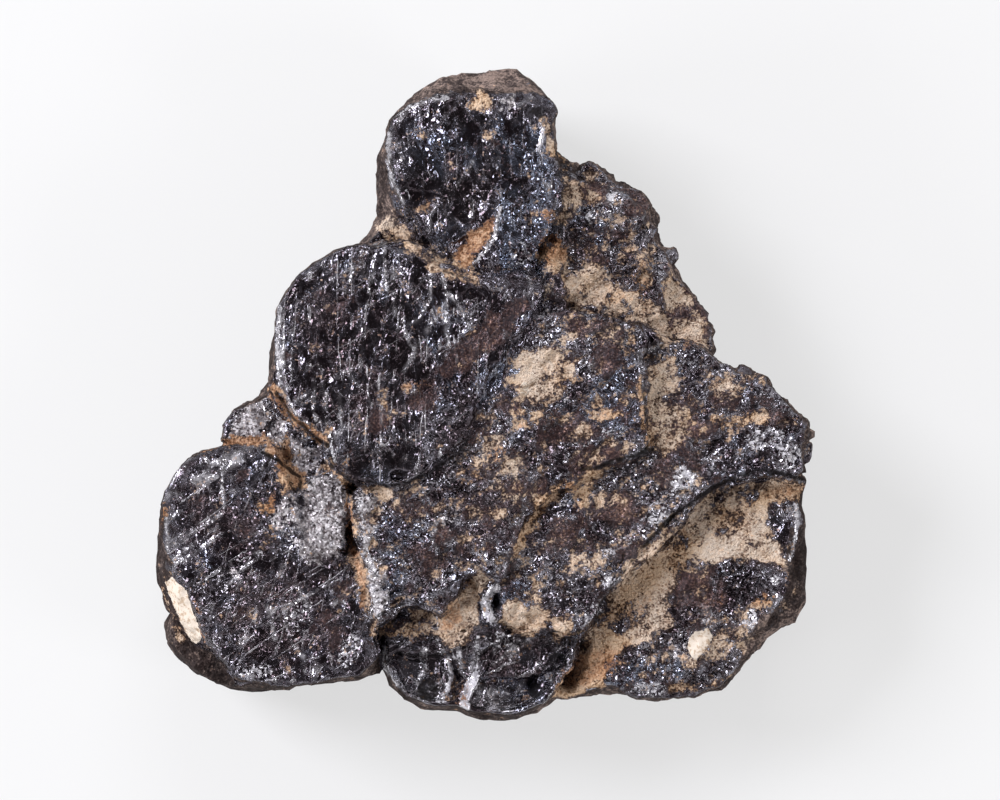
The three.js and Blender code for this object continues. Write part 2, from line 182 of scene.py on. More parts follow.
def terraces(field, steps):
    """A field turned into flat levels with steep edges between them."""
    level = np.floor(field * steps)
    return (level + ramp(0.36, 0.64, field * steps - level)) / steps


# ------------------------------------------------------------------ places in the frame

SPARE = 2  # frame units round a place's box, past its soft edge
THIN = 0.9  # half the width of a thin line

def spot(x, y, wide, high=None, turn=0):
    """An oval."""
    return "spot", (x, y, wide, high or wide, math.radians(turn))


def patch(*corners):
    """A closed outline."""
    return "patch", corners


def band(width, *line):
    """A line of that half width."""
    return "band", (width, line)


def edge(*line):
    """A thin line."""
    return band(THIN, *line)


def to_line(q, line):
    """Distance of frame points q to a polyline."""
    best = np.full(len(q), 1e9)
    for a, b in zip(line[:-1], line[1:]):
        a, b = np.array(a, float), np.array(b, float)
        along = np.clip(((q - a) @ (b - a)) / max((b - a) @ (b - a), 1e-9), 0, 1)
        best = np.minimum(best, np.linalg.norm(q - a - along[:, None] * (b - a), axis=1))
    return best


def inside(q, corners):
    """Signed distance to a closed outline, positive inside."""
    ring = corners + corners[:1]
    odd = np.zeros(len(q), bool)
    for (ax, ay), (bx, by) in zip(ring[:-1], ring[1:]):
        crosses = (ay > q[:, 1]) != (by > q[:, 1])
        slope = (bx - ax) / (by - ay) if by != ay else 0.0
        odd ^= crosses & (q[:, 0] < ax + (q[:, 1] - ay) * slope)
    distance = to_line(q, ring)
    return np.where(odd, distance, -distance)


def cover(q, shape, soft):
    """How much of a place covers each frame point, 0 to 1, with an edge soft units wide."""
    kind, data = shape
    if kind == "spot":
        x, y, wide, high, turn = data
        dx, dy = q[:, 0] - x, q[:, 1] - y
        u = (dx * math.cos(turn) + dy * math.sin(turn)) / wide
        v = (dy * math.cos(turn) - dx * math.sin(turn)) / high
        return ramp(soft, -soft, (np.hypot(u, v) - 1) * min(wide, high))
    if kind == "patch":
        return ramp(-soft, soft, inside(q, data))
    width, line = data
    return ramp(soft, -soft, to_line(q, line) - width)


def reach(shape, margin):
    """The frame box that a place touches."""
    kind, data = shape
    if kind == "spot":
        x, y, wide, high, _ = data
        r = max(wide, high) + margin
        return x - r, y - r, x + r, y + r
    points = np.array(data if kind == "patch" else data[1], float)
    grow = margin + (0 if kind == "patch" else data[0])
    return (*(points.min(0) - grow), *(points.max(0) + grow))


def laid(q, places, soft=3.0):
    """The strongest of several places at each frame point. They come as lists of shapes, each
    list under its strength."""
    total = np.zeros(len(q), np.float32)
    for strength, shape in ((key, shape) for key, shapes in places.items() for shape in shapes):
        x0, y0, x1, y1 = reach(shape, soft + SPARE)
        near = np.where((q[:, 0] > x0) & (q[:, 0] < x1) & (q[:, 1] > y0) & (q[:, 1] < y1))[0]
        if len(near):
            total[near] = np.maximum(total[near], strength * cover(q[near], shape, soft))
    return total


# ------------------------------------------------------------------ what lies where
# Each list stands under how strongly its shapes are laid.

CRYSTALS = {
    "knob": patch((386, 112), (420, 92), (480, 90), (548, 95), (552, 130), (565, 180), (545, 275),
        (470, 276), (425, 240), (388, 185)),
    "disc": patch((277, 330), (285, 290), (330, 245), (378, 238), (430, 255), (470, 276),
        (545, 285), (530, 330), (495, 385), (470, 450), (400, 488), (350, 478), (322, 440),
        (278, 400)),
    "left": patch((166, 500), (195, 452), (270, 448), (300, 500), (303, 560), (352, 560),
        (372, 640), (375, 685), (230, 690), (190, 620), (166, 560)),
    "flakes": patch((222, 440), (245, 405), (268, 396), (322, 442), (350, 480), (350, 550),
        (303, 560), (300, 500), (275, 450)),
    "middle": patch((352, 490), (440, 480), (480, 430), (505, 370), (545, 315), (636, 325),
        (645, 450), (560, 480), (520, 520), (500, 620), (440, 640), (372, 640), (350, 560)),
    "right": patch((640, 330), (720, 360), (808, 415), (806, 480), (745, 480), (690, 505),
        (640, 560), (585, 620), (560, 640), (500, 620), (520, 520), (560, 480), (645, 450)),
    "low": patch((806, 480), (745, 480), (690, 505), (640, 560), (585, 620), (560, 690),
        (640, 700), (725, 690), (770, 630), (806, 620)),
    "rough": patch((560, 150), (650, 200), (712, 340), (720, 360), (640, 330), (545, 315),
        (540, 275), (565, 180)),
    "bottom": patch((378, 640), (440, 640), (500, 622), (560, 640), (590, 640), (575, 690),
        (540, 720), (480, 724), (400, 705)),
}

CLAY = {
    1.5: [band(3.2, (200, 449), (223, 443), (264, 441), (280, 455), (284, 471), (291, 487)),
        patch((481, 570), (470, 588), (456, 600), (443, 614), (438, 630), (450, 648), (463, 646),
        (474, 628), (482, 612), (480, 598), (490, 580)), patch((758, 486), (780, 481), (804, 484),
        (802, 498), (782, 501), (762, 504))],
    1.45: [patch((742, 508), (762, 502), (770, 512), (764, 524), (770, 536), (784, 544),
        (784, 560), (766, 562), (745, 556), (716, 560), (697, 556), (706, 540), (732, 534))],
    1.4: [patch((500, 604), (515, 598), (528, 612), (548, 612), (540, 630), (528, 638), (514, 632),
        (500, 622))],
    1.35: [patch((590, 630), (606, 626), (622, 640), (620, 664), (600, 684), (566, 700),
        (550, 696), (568, 676), (586, 650))],
    1.3: [band(2.4, (286, 436), (288, 452), (289, 470)), spot(294, 481, 11, 9, 20)],
    1.25: [patch((640, 580), (660, 560), (676, 556), (678, 576), (670, 600), (670, 628),
        (650, 632), (644, 606))],
    1.0: [band(6, (380, 224), (394, 229), (408, 238), (418, 250)), band(5, (273, 390), (284, 408),
        (300, 424), (326, 441)), band(3.5, (328, 461), (345, 474), (362, 486), (385, 492)),
        patch((520, 354), (546, 346), (559, 351), (557, 369), (577, 372), (571, 388), (561, 398),
        (535, 403), (520, 395))],
    0.95: [band(6, (416, 250), (430, 262), (448, 272), (475, 279)), band(3.5, (328, 465),
        (346, 480), (353, 508), (352, 540), (349, 560)), spot(612, 417, 14, 4), patch((708, 508),
        (726, 496), (748, 494), (744, 514), (734, 530), (712, 530))],
    0.9: [spot(482, 100, 12, 10), band(5, (545, 122), (549, 140), (560, 158), (575, 163)),
        spot(588, 286, 20, 22, 30), band(2.6, (385, 390), (386, 402), (391, 414)),
        spot(264, 433, 3, 7), band(3.5, (351, 552), (362, 574), (364, 609)),
        spot(163, 512, 3.5, 9), band(2.5, (166, 572), (162, 584), (168, 606), (184, 645)),
        spot(582, 506, 4), patch((450, 692), (456, 684), (458, 700), (456, 712), (449, 708)),
        spot(764, 602, 9, 8)],
    0.85: [spot(616, 305, 9), spot(463, 477, 9, 4, -15), band(1.8, (639, 372), (641, 400),
        (645, 430), (651, 448)), patch((548, 618), (570, 622), (572, 632), (556, 635)),
        patch((601, 634), (604, 604), (622, 584), (645, 562), (650, 590), (644, 640), (622, 632)),
        band(3.2, (669, 692), (700, 688), (732, 677))],
    0.8: [spot(426, 205, 12, 9, -20), spot(552, 258, 16, 15), spot(600, 300, 14, 8, 30),
        spot(664, 335, 10), spot(640, 300, 12, 6), band(2.2, (404, 388), (414, 383), (426, 383)),
        spot(267, 505, 8, 10, 30), band(2.5, (284, 493), (294, 498), (290, 510)),
        spot(470, 506, 3, 6), band(2.5, (433, 522), (436, 512), (441, 505)), band(4.5, (600, 473),
        (575, 482), (554, 488), (538, 505), (526, 528), (516, 552)), spot(742, 610, 15, 6, -30)],
    0.75: [spot(642, 275, 9, 22, -10), spot(521, 425, 8, 4), spot(470, 566, 16, 4, 10),
        spot(395, 632, 20, 6, -8)],
    0.72: [patch((690, 522), (712, 504), (716, 530), (700, 552), (684, 562), (662, 556))],
    0.7: [spot(655, 318, 16, 9, 30), spot(694, 340, 18, 8, 15), spot(266, 543, 8, 5),
        spot(335, 564, 9, 4), spot(583, 429, 5, 6, 40), spot(566, 382, 8),
        spot(572, 488, 18, 7, -20), spot(728, 388, 14, 16, 30), band(3, (735, 424), (752, 420),
        (765, 418)), spot(672, 664, 7, 4)],
    0.65: [spot(505, 465, 14, 10)],
    0.62: [patch((602, 632), (644, 630), (660, 640), (640, 664), (616, 660))],
    0.6: [patch((494, 218), (470, 232), (449, 262), (455, 273), (475, 276), (479, 256),
        (492, 240)), spot(392, 222, 12, 14), spot(548, 215, 10, 8), spot(675, 300, 12, 20, -20),
        spot(690, 325, 14, 12), spot(492, 444, 10, 12), spot(597, 398, 8, 4),
        spot(540, 420, 18, 8, 20), spot(590, 560, 24, 7, -30), patch((600, 604), (640, 552),
        (690, 512), (740, 488), (744, 496), (700, 526), (650, 566), (612, 608)),
        spot(690, 664, 8, 6), spot(716, 650, 7, 10, 20)],
    0.56: [patch((646, 356), (675, 352), (690, 400), (680, 450), (652, 448))],
    0.55: [spot(752, 378, 16, 8, 10)],
    0.5: [spot(486, 128, 6, 10), spot(570, 190, 12, 16), spot(590, 172, 12, 5, 20),
        spot(560, 340, 14, 8), spot(480, 420, 10, 14, 20), spot(575, 455, 10, 5),
        spot(476, 630, 10, 9), spot(535, 600, 8, 14), spot(420, 626, 10, 6), spot(720, 420, 10, 8),
        spot(700, 372, 10, 12), spot(744, 634, 12, 4, -40)],
}

# Where what lies on the metal is worn away.
SCOURED = {
    1.4: [patch((502, 579), (486, 586), (477, 602), (480, 618), (492, 628), (502, 620),
        (502, 598))],
    1.0: [patch((764, 504), (780, 500), (800, 502), (800, 545), (790, 540), (772, 530),
        (766, 520))],
    0.9: [patch((723, 568), (740, 560), (777, 562), (776, 600), (756, 598), (726, 616))],
    0.8: [spot(631, 604, 4, 9, -15), spot(502, 650, 18, 12)],
    0.7: [spot(624, 624, 8, 6), spot(600, 350, 24, 14), spot(628, 400, 12, 46),
        spot(548, 374, 5, 9), spot(770, 450, 40, 24), spot(600, 212, 26, 14, -30),
        patch((604, 640), (640, 650), (682, 640), (684, 670), (660, 694), (604, 692))],
    0.6: [spot(750, 544, 10, 5), spot(690, 362, 16), spot(485, 520, 20, 30), spot(578, 262, 12, 8),
        spot(560, 300, 14), spot(440, 600, 14, 20), spot(590, 585, 20)],
    0.5: [spot(686, 540, 6, 10, 30), spot(545, 340, 20, 6)],
}

ORANGE = {
    1.5: [band(3.4, (200, 449), (223, 443), (264, 441), (280, 455), (284, 471))],
    1.4: [patch((494, 218), (474, 230), (454, 256), (464, 266), (480, 252), (492, 238))],
    1.3: [band(4, (272, 388), (284, 408), (300, 424), (322, 438)), band(2.4, (286, 436),
        (288, 452), (289, 470))],
    1.2: [band(2.8, (349, 505), (350, 540), (362, 574), (364, 609))],
    1.1: [spot(264, 433, 3, 7)],
    0.9: [spot(451, 620, 9, 16, 20), spot(296, 480, 9)],
    0.8: [spot(552, 250, 14, 16), spot(547, 215, 10, 8), spot(163, 512, 4, 9),
        spot(590, 668, 34, 16, -30), spot(268, 505, 8, 12, 30)],
    0.7: [band(2, (190, 588), (198, 612), (204, 640)), band(2.0, (640, 380), (643, 415),
        (651, 448)), spot(764, 600, 9, 8), spot(785, 492, 15, 7), spot(580, 506, 4)],
    0.6: [spot(612, 417, 14, 4), band(3, (404, 388), (414, 383), (426, 383)),
        spot(426, 205, 11, 8, -20), spot(720, 600, 3, 12, -10), spot(566, 487, 12, 6),
        spot(643, 290, 6, 10), spot(463, 700, 6, 14, 10), spot(520, 425, 7, 4)],
    0.5: [spot(618, 300, 10), spot(690, 345, 14, 8), spot(640, 610, 20, 8, -40),
        spot(497, 455, 12, 10)],
}

RUST = {
    1.0: [patch((403, 407), (426, 379), (448, 354), (480, 321), (506, 304), (527, 296), (531, 306),
        (512, 328), (497, 345), (469, 366), (448, 388), (439, 403), (418, 411)),
        spot(614, 510, 28, 16)],
    0.9: [spot(335, 632, 20, 12, 35), patch((648, 400), (690, 395), (705, 430), (690, 450),
        (655, 450)), spot(688, 318, 22, 30), spot(722, 600, 5, 14, -10)],
    0.8: [spot(560, 535, 16, 12), spot(600, 545, 24, 10), spot(660, 470, 22, 12),
        spot(770, 412, 28, 12, 20), spot(697, 592, 22, 28)],
    0.7: [spot(326, 522, 12, 26), spot(590, 460, 36, 20, -30), spot(560, 430, 26, 16),
        spot(725, 400, 14, 10), spot(727, 518, 16, 14), spot(640, 205, 18, 12, 40)],
    0.6: [spot(610, 360, 20, 14), spot(520, 480, 30, 22), spot(420, 500, 24, 12),
        spot(590, 190, 20, 14), spot(590, 330, 30, 8), spot(700, 690, 30, 5)],
    0.5: [spot(377, 422, 10), spot(345, 590, 12, 20), spot(455, 540, 16, 20),
        spot(420, 560, 18, 14)],
    0.45: [spot(232, 534, 28, 24)],
}

GREY = {
    1.0: [patch((225, 440), (245, 408), (266, 398), (268, 420), (262, 440))],
    0.95: [patch((358, 494), (386, 492), (378, 514), (368, 556), (374, 580), (368, 600),
        (362, 560))],
    0.9: [patch((290, 438), (322, 446), (322, 470), (300, 474), (290, 466)), patch((304, 494),
        (312, 478), (326, 470), (342, 478), (349, 496), (346, 540), (336, 556), (318, 566),
        (303, 560), (300, 520))],
    0.8: [spot(277, 432, 9, 12), patch((368, 560), (386, 566), (390, 600), (372, 622), (370, 590)),
        spot(232, 573, 6)],
    0.62: [patch((268, 512), (284, 494), (303, 486), (301, 520), (303, 555), (285, 540),
        (276, 526))],
    0.6: [spot(665, 482, 8, 14, 30)],
    0.55: [spot(558, 398, 12, 8, 20)],
    0.5: [patch((496, 94), (518, 96), (512, 116), (498, 116)), spot(445, 520, 16, 22),
        spot(680, 650, 12, 18), spot(640, 600, 14, 10, -40), spot(615, 575, 16, 5, -30),
        spot(590, 372, 10, 12), spot(548, 372, 8, 14)],
    0.45: [spot(594, 288, 22), spot(664, 375, 16, 20), spot(575, 500, 16, 12)],
}

# Where the clay is golden and sandy.
GOLD = {
    1.0: [patch((740, 496), (776, 486), (804, 486), (802, 500), (776, 502), (745, 512)),
        patch((612, 624), (632, 640), (628, 668), (600, 690), (560, 700), (548, 694), (576, 672),
        (590, 640))],
    0.9: [spot(764, 600, 10, 8)],
    0.8: [patch((588, 628), (610, 600), (640, 572), (672, 545), (690, 530), (700, 545), (676, 570),
        (640, 600), (618, 628)), spot(642, 285, 8, 18), spot(552, 250, 16, 18),
        spot(612, 417, 16, 6), spot(572, 488, 18, 8), spot(582, 506, 4), band(6, (600, 473),
        (554, 488), (526, 528), (516, 552))],
    0.7: [spot(730, 518, 18, 14), spot(700, 688, 34, 6), spot(460, 268, 16, 9),
        spot(566, 382, 10, 8), spot(463, 477, 10, 5), spot(280, 500, 30, 40),
        spot(340, 500, 16, 60), band(4, (640, 372), (645, 430), (651, 448))],
    0.6: [spot(395, 632, 20, 7), spot(482, 100, 12, 10), spot(540, 420, 20, 10),
        spot(560, 158, 14, 10)],
    0.5: [spot(396, 242, 16, 10), spot(730, 420, 40, 10)],
    0.4: [spot(530, 630, 30, 8)],
    0.35: [spot(462, 612, 16, 26, 20)],
    0.3: [spot(588, 286, 16, 20, 30), spot(618, 300, 12, 10)],
    0.2: [spot(648, 400, 6, 40)],
}

# Where the metal breaks into small flat facets that sparkle.
SPARKLE = {
    1.0: [patch((303, 480), (328, 472), (347, 490), (348, 548), (322, 562), (305, 552)),
        patch((727, 424), (806, 424), (808, 478), (770, 474), (735, 462)), patch((660, 470),
        (690, 450), (708, 456), (700, 486), (672, 504), (655, 500)), patch((502, 238), (545, 240),
        (540, 272), (478, 272))],
    0.9: [spot(592, 214, 22, 16, -30), spot(330, 450, 10, 18), spot(306, 456, 14, 16),
        patch((355, 492), (380, 490), (378, 540), (394, 600), (388, 622), (366, 580)),
        spot(610, 585, 30, 12, -30)],
    0.8: [patch((535, 175), (562, 180), (558, 240), (520, 236), (505, 200)), patch((545, 540),
        (600, 500), (640, 470), (650, 500), (600, 560), (560, 590)), spot(400, 550, 24, 50),
        patch((600, 640), (700, 640), (735, 680), (640, 696), (604, 690)), spot(700, 610, 16, 12),
        spot(475, 585, 8, 12), spot(620, 268, 12, 8), spot(570, 272, 9)],
    0.7: [spot(640, 400, 14, 50), spot(600, 432, 34, 10, -15), spot(755, 585, 34, 26, -20),
        spot(596, 610, 16, 20), spot(530, 655, 30, 16), spot(480, 500, 40, 30),
        spot(440, 440, 30, 20, -20)],
    0.6: [spot(455, 400, 30, 16, -35), spot(685, 360, 22, 20), spot(260, 520, 30, 36)],
    0.5: [spot(600, 340, 40, 20), spot(250, 610, 60, 40)],
}

# A brown film over the metal, which dulls it.
FILM = {
    0.9: [spot(234, 532, 30, 26)],
    0.7: [spot(377, 422, 14, 12), patch((240, 560), (330, 560), (350, 640), (330, 676), (250, 670),
        (210, 620)), spot(520, 660, 40, 24, -20), spot(690, 590, 24, 30)],
    0.6: [spot(380, 380, 60), spot(330, 330, 30, 40), spot(200, 510, 20, 40), spot(490, 520, 40)],
    0.5: [spot(470, 170, 60, 30)],
}

# Smooth brown flanks that are in sight from above.
SIDES = {
    1.0: [patch((160, 606), (172, 605), (180, 618), (196, 646), (212, 652), (228, 668), (238, 694),
        (212, 690), (186, 668), (160, 640)), patch((400, 96), (410, 84), (440, 76), (472, 72),
        (526, 70), (532, 92), (500, 92), (480, 96), (450, 92), (420, 102), (404, 112)),
        patch((372, 120), (388, 128), (386, 160), (392, 196), (402, 226), (384, 236), (370, 200))],
    0.9: [patch((786, 560), (790, 528), (810, 520), (810, 640), (780, 630)), patch((742, 640),
        (764, 612), (784, 606), (784, 640), (740, 680))],
    0.8: [patch((265, 310), (276, 310), (276, 385), (262, 385))],
    0.7: [patch((380, 700), (400, 688), (440, 712), (470, 724), (440, 740), (390, 720))],
}

# Flanks whose colour is made paler, and ones whose colour is made darker.
PALER_FLANKS = {
    1.0: [patch((404, 100), (424, 80), (470, 66), (528, 66), (534, 94), (500, 92), (440, 92))],
    0.9: [patch((376, 190), (392, 190), (404, 226), (390, 240), (372, 236))],
    0.6: [patch((740, 640), (760, 610), (784, 600), (790, 640), (744, 676))],
    0.5: [patch((600, 696), (730, 690), (720, 704), (610, 706))],
}

DARKER_FLANKS = {
    1.0: [patch((150, 470), (166, 480), (168, 600), (150, 600))],
    0.9: [patch((262, 300), (276, 290), (276, 390), (262, 390))],
    0.8: [patch((156, 610), (176, 606), (200, 650), (232, 692), (380, 684), (380, 700),
        (180, 700))],
    0.7: [patch((370, 700), (400, 690), (440, 712), (540, 714), (550, 730), (400, 740))],
    0.6: [patch((366, 110), (386, 108), (388, 186), (366, 186)), patch((796, 480), (815, 480),
        (815, 600), (792, 600))],
}

# Broken outlines.
RAGGED = {
    1.0: [band(9, (552, 150), (590, 166), (640, 195), (664, 235), (700, 290), (716, 345))],
    0.9: [band(9, (716, 345), (744, 372), (780, 395), (808, 425), (808, 475))],
    0.6: [band(8, (400, 100), (430, 78), (480, 70), (530, 74), (552, 120))],
    0.5: [band(8, (560, 700), (640, 696), (730, 690), (790, 630)), band(8, (225, 430), (250, 400),
        (270, 394))],
}

# Where the metal has a blue sheen.
BLUE = {
    1.0: [spot(592, 216, 20, 15, -30)],
    0.9: [spot(556, 398, 14, 10, 20)],
    0.8: [patch((490, 120), (540, 125), (560, 185), (545, 272), (500, 272), (495, 190)),
        spot(600, 240, 14, 10), patch((600, 350), (636, 345), (642, 440), (600, 445), (575, 425)),
        spot(500, 372, 12, 30, 35), spot(645, 670, 36, 14, -10), spot(488, 602, 8, 20)],
    0.7: [spot(455, 395, 26, 12, -40), spot(515, 590, 22, 14), spot(575, 500, 18, 14),
        spot(515, 690, 30, 22)],
    0.6: [spot(665, 375, 16, 20), spot(310, 450, 18, 20), spot(395, 560, 16, 50)],
    0.5: [spot(450, 150, 40, 30), spot(430, 320, 30)],
}

# Crevices painted near-black: painted shade.
CREVICE_SHADE_LINES = {
    1.0: [band(2.6, (652, 449), (636, 455), (612, 461), (596, 468), (580, 469)), band(2.6,
        (803, 480), (784, 474), (764, 470), (744, 474), (720, 484), (694, 500), (668, 520),
        (644, 546)), band(2.2, (262, 452), (280, 462), (300, 478), (300, 490))],
    0.9: [band(1.4, (639, 346), (642, 380), (646, 420), (652, 447)), band(1.6, (376, 642),
        (396, 644), (412, 648), (432, 640)), band(2.4, (276, 392), (292, 416), (312, 434),
        (328, 446)), band(2.0, (330, 464), (350, 480), (372, 490)), spot(536, 690, 8, 9),
        spot(498, 603, 3, 9, -6), band(1.8, (374, 592), (396, 582)), band(1.8, (376, 604),
        (402, 592)), band(1.8, (378, 616), (406, 602)), band(1.6, (382, 626), (408, 614))],
    0.8: [band(2.2, (368, 480), (386, 486), (408, 482), (432, 470), (452, 458)), band(1.4,
        (452, 458), (470, 436), (478, 412), (492, 384), (504, 360)), band(1.6, (404, 232),
        (424, 256), (446, 272), (478, 281)), band(2.0, (644, 546), (622, 574), (602, 600),
        (596, 622)), band(1.4, (318, 566), (334, 562), (347, 552)), spot(428, 690, 12), band(1.4,
        (604, 692), (640, 697), (668, 696)), band(1.6, (636, 348), (652, 352), (662, 346)),
        spot(226, 570, 6, 4, 20)],
    0.7: [band(1.4, (580, 470), (560, 480), (540, 492), (524, 510), (515, 530), (514, 548)),
        band(1.2, (478, 281), (500, 277), (528, 276)), band(1.6, (498, 640), (520, 644),
        (540, 640), (552, 634), (570, 640)), band(1.6, (196, 646), (214, 652), (228, 668)),
        band(1.8, (545, 204), (566, 212), (560, 232)), band(1.4, (380, 684), (382, 650),
        (376, 640)), band(1.6, (560, 232), (590, 236), (618, 226)), spot(537, 112, 12, 7),
        spot(403, 474, 8, 4)],
    0.6: [band(1.4, (500, 560), (480, 562), (460, 556)), band(1.2, (545, 650), (560, 640))],
}

# Thin raised edges and scratches, raised in the bump and also painted near-white as painted
# highlights.
EDGES = {
    1.0: [edge((442, 264), (446, 296), (446, 320), (449, 346)), edge((390, 134), (388, 160),
        (394, 184), (404, 204)), edge((543, 120), (543, 136), (538, 150)), edge((500, 208),
        (495, 236), (486, 250), (471, 267)), edge((167, 515), (168, 550)), edge((384, 646),
        (386, 664), (398, 682)), edge((423, 648), (425, 668), (416, 684)), edge((448, 657),
        (451, 672), (444, 698)), edge((478, 636), (475, 660), (467, 690), (463, 714))],
    0.9: [edge((446, 290), (462, 310), (470, 330)), edge((170, 546), (192, 533), (223, 513)),
        edge((222, 467), (222, 490), (224, 508)), edge((458, 648), (462, 668)), edge((436, 628),
        (438, 645)), edge((493, 664), (505, 655), (518, 642)), edge((796, 505), (797, 526),
        (790, 556))],
    0.8: [edge((384, 246), (386, 290)), edge((400, 320), (414, 352)), edge((350, 425), (336, 434),
        (328, 450)), edge((280, 300), (277, 320), (277, 350), (280, 385)), edge((172, 560),
        (200, 540), (220, 526)), edge((164, 500), (172, 492), (182, 494), (184, 508), (176, 515)),
        edge((516, 704), (518, 690), (522, 682)), edge((528, 676), (540, 664)), edge((652, 448),
        (640, 452), (612, 462))],
    0.7: [edge((431, 266), (430, 300)), edge((394, 270), (395, 316)), edge((362, 252), (363, 274)),
        edge((352, 262), (350, 282)), edge((283, 392), (294, 412), (318, 434)), edge((392, 128),
        (410, 108), (436, 98)), edge((473, 201), (472, 216)), edge((184, 560), (214, 540)),
        edge((176, 538), (196, 528)), edge((222, 467), (232, 459), (242, 455)), edge((304, 655),
        (305, 672)), edge((300, 480), (296, 510), (304, 540)), edge((284, 500), (296, 492),
        (304, 488)), edge((360, 500), (357, 530), (362, 560)), edge((380, 560), (388, 590)),
        edge((513, 653), (528, 640)), edge((640, 352), (652, 350), (662, 344)), edge((770, 484),
        (790, 480), (806, 484))],
    0.6: [edge((374, 258), (372, 282)), edge((413, 350), (440, 314)), edge((414, 352), (404, 372)),
        edge((430, 300), (420, 318), (398, 330)), edge((446, 300), (426, 330)), edge((326, 394),
        (326, 424)), edge((340, 392), (340, 420)), edge((480, 150), (466, 172), (456, 186)),
        edge((516, 108), (532, 97)), edge((436, 205), (430, 218), (428, 240)), edge((396, 145),
        (402, 160)), edge((176, 515), (168, 520)), edge((160, 495), (176, 470), (192, 456)),
        edge((225, 590), (240, 570), (262, 556)), edge((268, 606), (275, 640)), edge((284, 606),
        (290, 640), (304, 660)), edge((280, 572), (300, 590), (310, 610)), edge((232, 575),
        (240, 582)), edge((368, 580), (372, 620)), edge((468, 700), (490, 708), (512, 712)),
        edge((474, 690), (500, 700), (516, 706)), edge((640, 350), (641, 380), (645, 420),
        (651, 446)), edge((496, 585), (487, 597), (484, 610), (490, 620)), edge((700, 664),
        (720, 652), (740, 640)), edge((545, 286), (560, 300), (540, 316)), edge((528, 270),
        (531, 290), (524, 300))],
    0.5: [edge((314, 380), (314, 410)), edge((350, 375), (372, 404)), edge((600, 600), (620, 580),
        (644, 566)), edge((530, 500), (518, 520), (512, 545)), edge((437, 522), (432, 540),
        (440, 556))],
}
# the fine steps of the two glassy crystals
EDGES[0.6] += [edge((474 + k, 682 + 5 * k), (512 - k, 696 + 4 * k)) for k in range(5)]
EDGES[0.5] += [edge((410 + 5 * k, 700 + 2 * k), (430 + 5 * k, 682 + 3 * k))
               for k in range(4)]

# Polished, sharply etched places. Their colour is also painted near-white there, as painted
# highlights and glints.
POLISH_AND_PAINTED_GLINT = {
    1.4: [band(2.6, (448, 660), (452, 675), (444, 700))],
    1.3: [band(1.6, (479, 634), (477, 662), (477, 680)), patch((472, 674), (479, 668), (478, 684),
        (470, 700), (469, 716), (460, 718), (459, 700), (465, 684))],
    1.2: [band(2.0, (384, 642), (384, 668), (396, 685)), band(1.2, (426, 647), (426, 667)),
        band(1.2, (421, 648), (422, 668), (417, 680)), band(1.4, (452, 646), (454, 660)),
        spot(459, 655, 3, 6)],
    1.1: [band(2.8, (389, 134), (387, 160), (394, 186)), band(1.4, (166, 512), (167, 554))],
    1.05: [patch((499, 582), (487, 589), (480, 602), (483, 617), (493, 626), (498, 618),
        (492, 609), (492, 597), (501, 590))],
    1.0: [band(2.6, (280, 305), (277, 340), (280, 385)), band(2.4, (500, 209), (495, 236),
        (486, 250), (472, 266)), band(1.4, (437, 616), (437, 634), (440, 648)),
        spot(440, 700, 5, 4), band(0.7, (488, 668), (518, 646))],
    0.9: [band(1.4, (377, 200), (374, 170), (380, 140)), spot(441, 98, 10, 4), band(2.2,
        (543, 122), (542, 136), (537, 150)), spot(613, 197, 6, 4, -35), band(1.2, (442, 266),
        (446, 296), (449, 346)), band(2.2, (330, 432), (332, 450), (335, 464)), band(1.0,
        (165, 500), (174, 478), (190, 462)), band(0.8, (170, 546), (223, 512)), patch((358, 498),
        (372, 494), (370, 550), (384, 590), (378, 622), (370, 600), (364, 560)),
        spot(690, 476, 8, 6), band(2.2, (796, 506), (797, 530), (790, 560)), spot(775, 580, 5),
        spot(750, 618, 8, 10, 20), band(1.4, (541, 708), (552, 692)), band(0.6, (512, 656),
        (527, 642)), band(1.0, (516, 706), (519, 690), (524, 680)), band(0.8, (436, 630),
        (440, 644)), spot(549, 677, 5)],
    0.8: [band(2, (284, 392), (296, 414), (320, 436)), band(2, (396, 118), (410, 106), (430, 98)),
        band(1.6, (402, 186), (412, 200)), band(1.3, (222, 466), (222, 504)),
        spot(325, 520, 18, 34), spot(306, 458, 12), spot(681, 482, 12, 18, 20),
        spot(706, 614, 8, 10), band(1.0, (470, 690), (504, 714)), band(0.8, (494, 640),
        (498, 652)), band(0.8, (506, 640), (512, 650))],
    0.7: [band(0.8, (176, 556), (214, 531)), band(0.8, (182, 540), (206, 526)), band(1, (168, 494),
        (180, 494), (183, 506), (176, 514)), spot(244, 424, 14, 12), spot(660, 515, 12, 16, 30),
        band(0.8, (478, 688), (510, 706)), spot(500, 640, 16, 8), band(1.6, (520, 700),
        (522, 685)), spot(612, 580, 12, 5, -30)],
    0.6: [spot(600, 212, 16, 11, -35), band(0.9, (431, 268), (430, 300)), band(0.9, (394, 272),
        (395, 314)), band(0.8, (403, 326), (414, 350)), band(0.8, (424, 328), (438, 315)),
        band(1.0, (222, 468), (234, 458)), spot(625, 540, 26, 8, -30), spot(768, 440, 24, 12),
        band(1.6, (494, 706), (540, 690)), band(1.5, (645, 350), (660, 346)),
        spot(595, 615, 10, 16, 20), spot(570, 275, 6), spot(622, 300, 4), spot(650, 690, 20, 8),
        spot(350, 650, 12, 20, 20), spot(255, 670, 20, 10)],
    0.55: [spot(790, 455, 12, 16)],
    0.5: [spot(520, 255, 14), band(0.8, (368, 260), (366, 282)), spot(640, 352, 8, 3),
        spot(300, 620, 14, 24, 20)],
    0.4: [spot(606, 436, 26, 8, -20)],
}

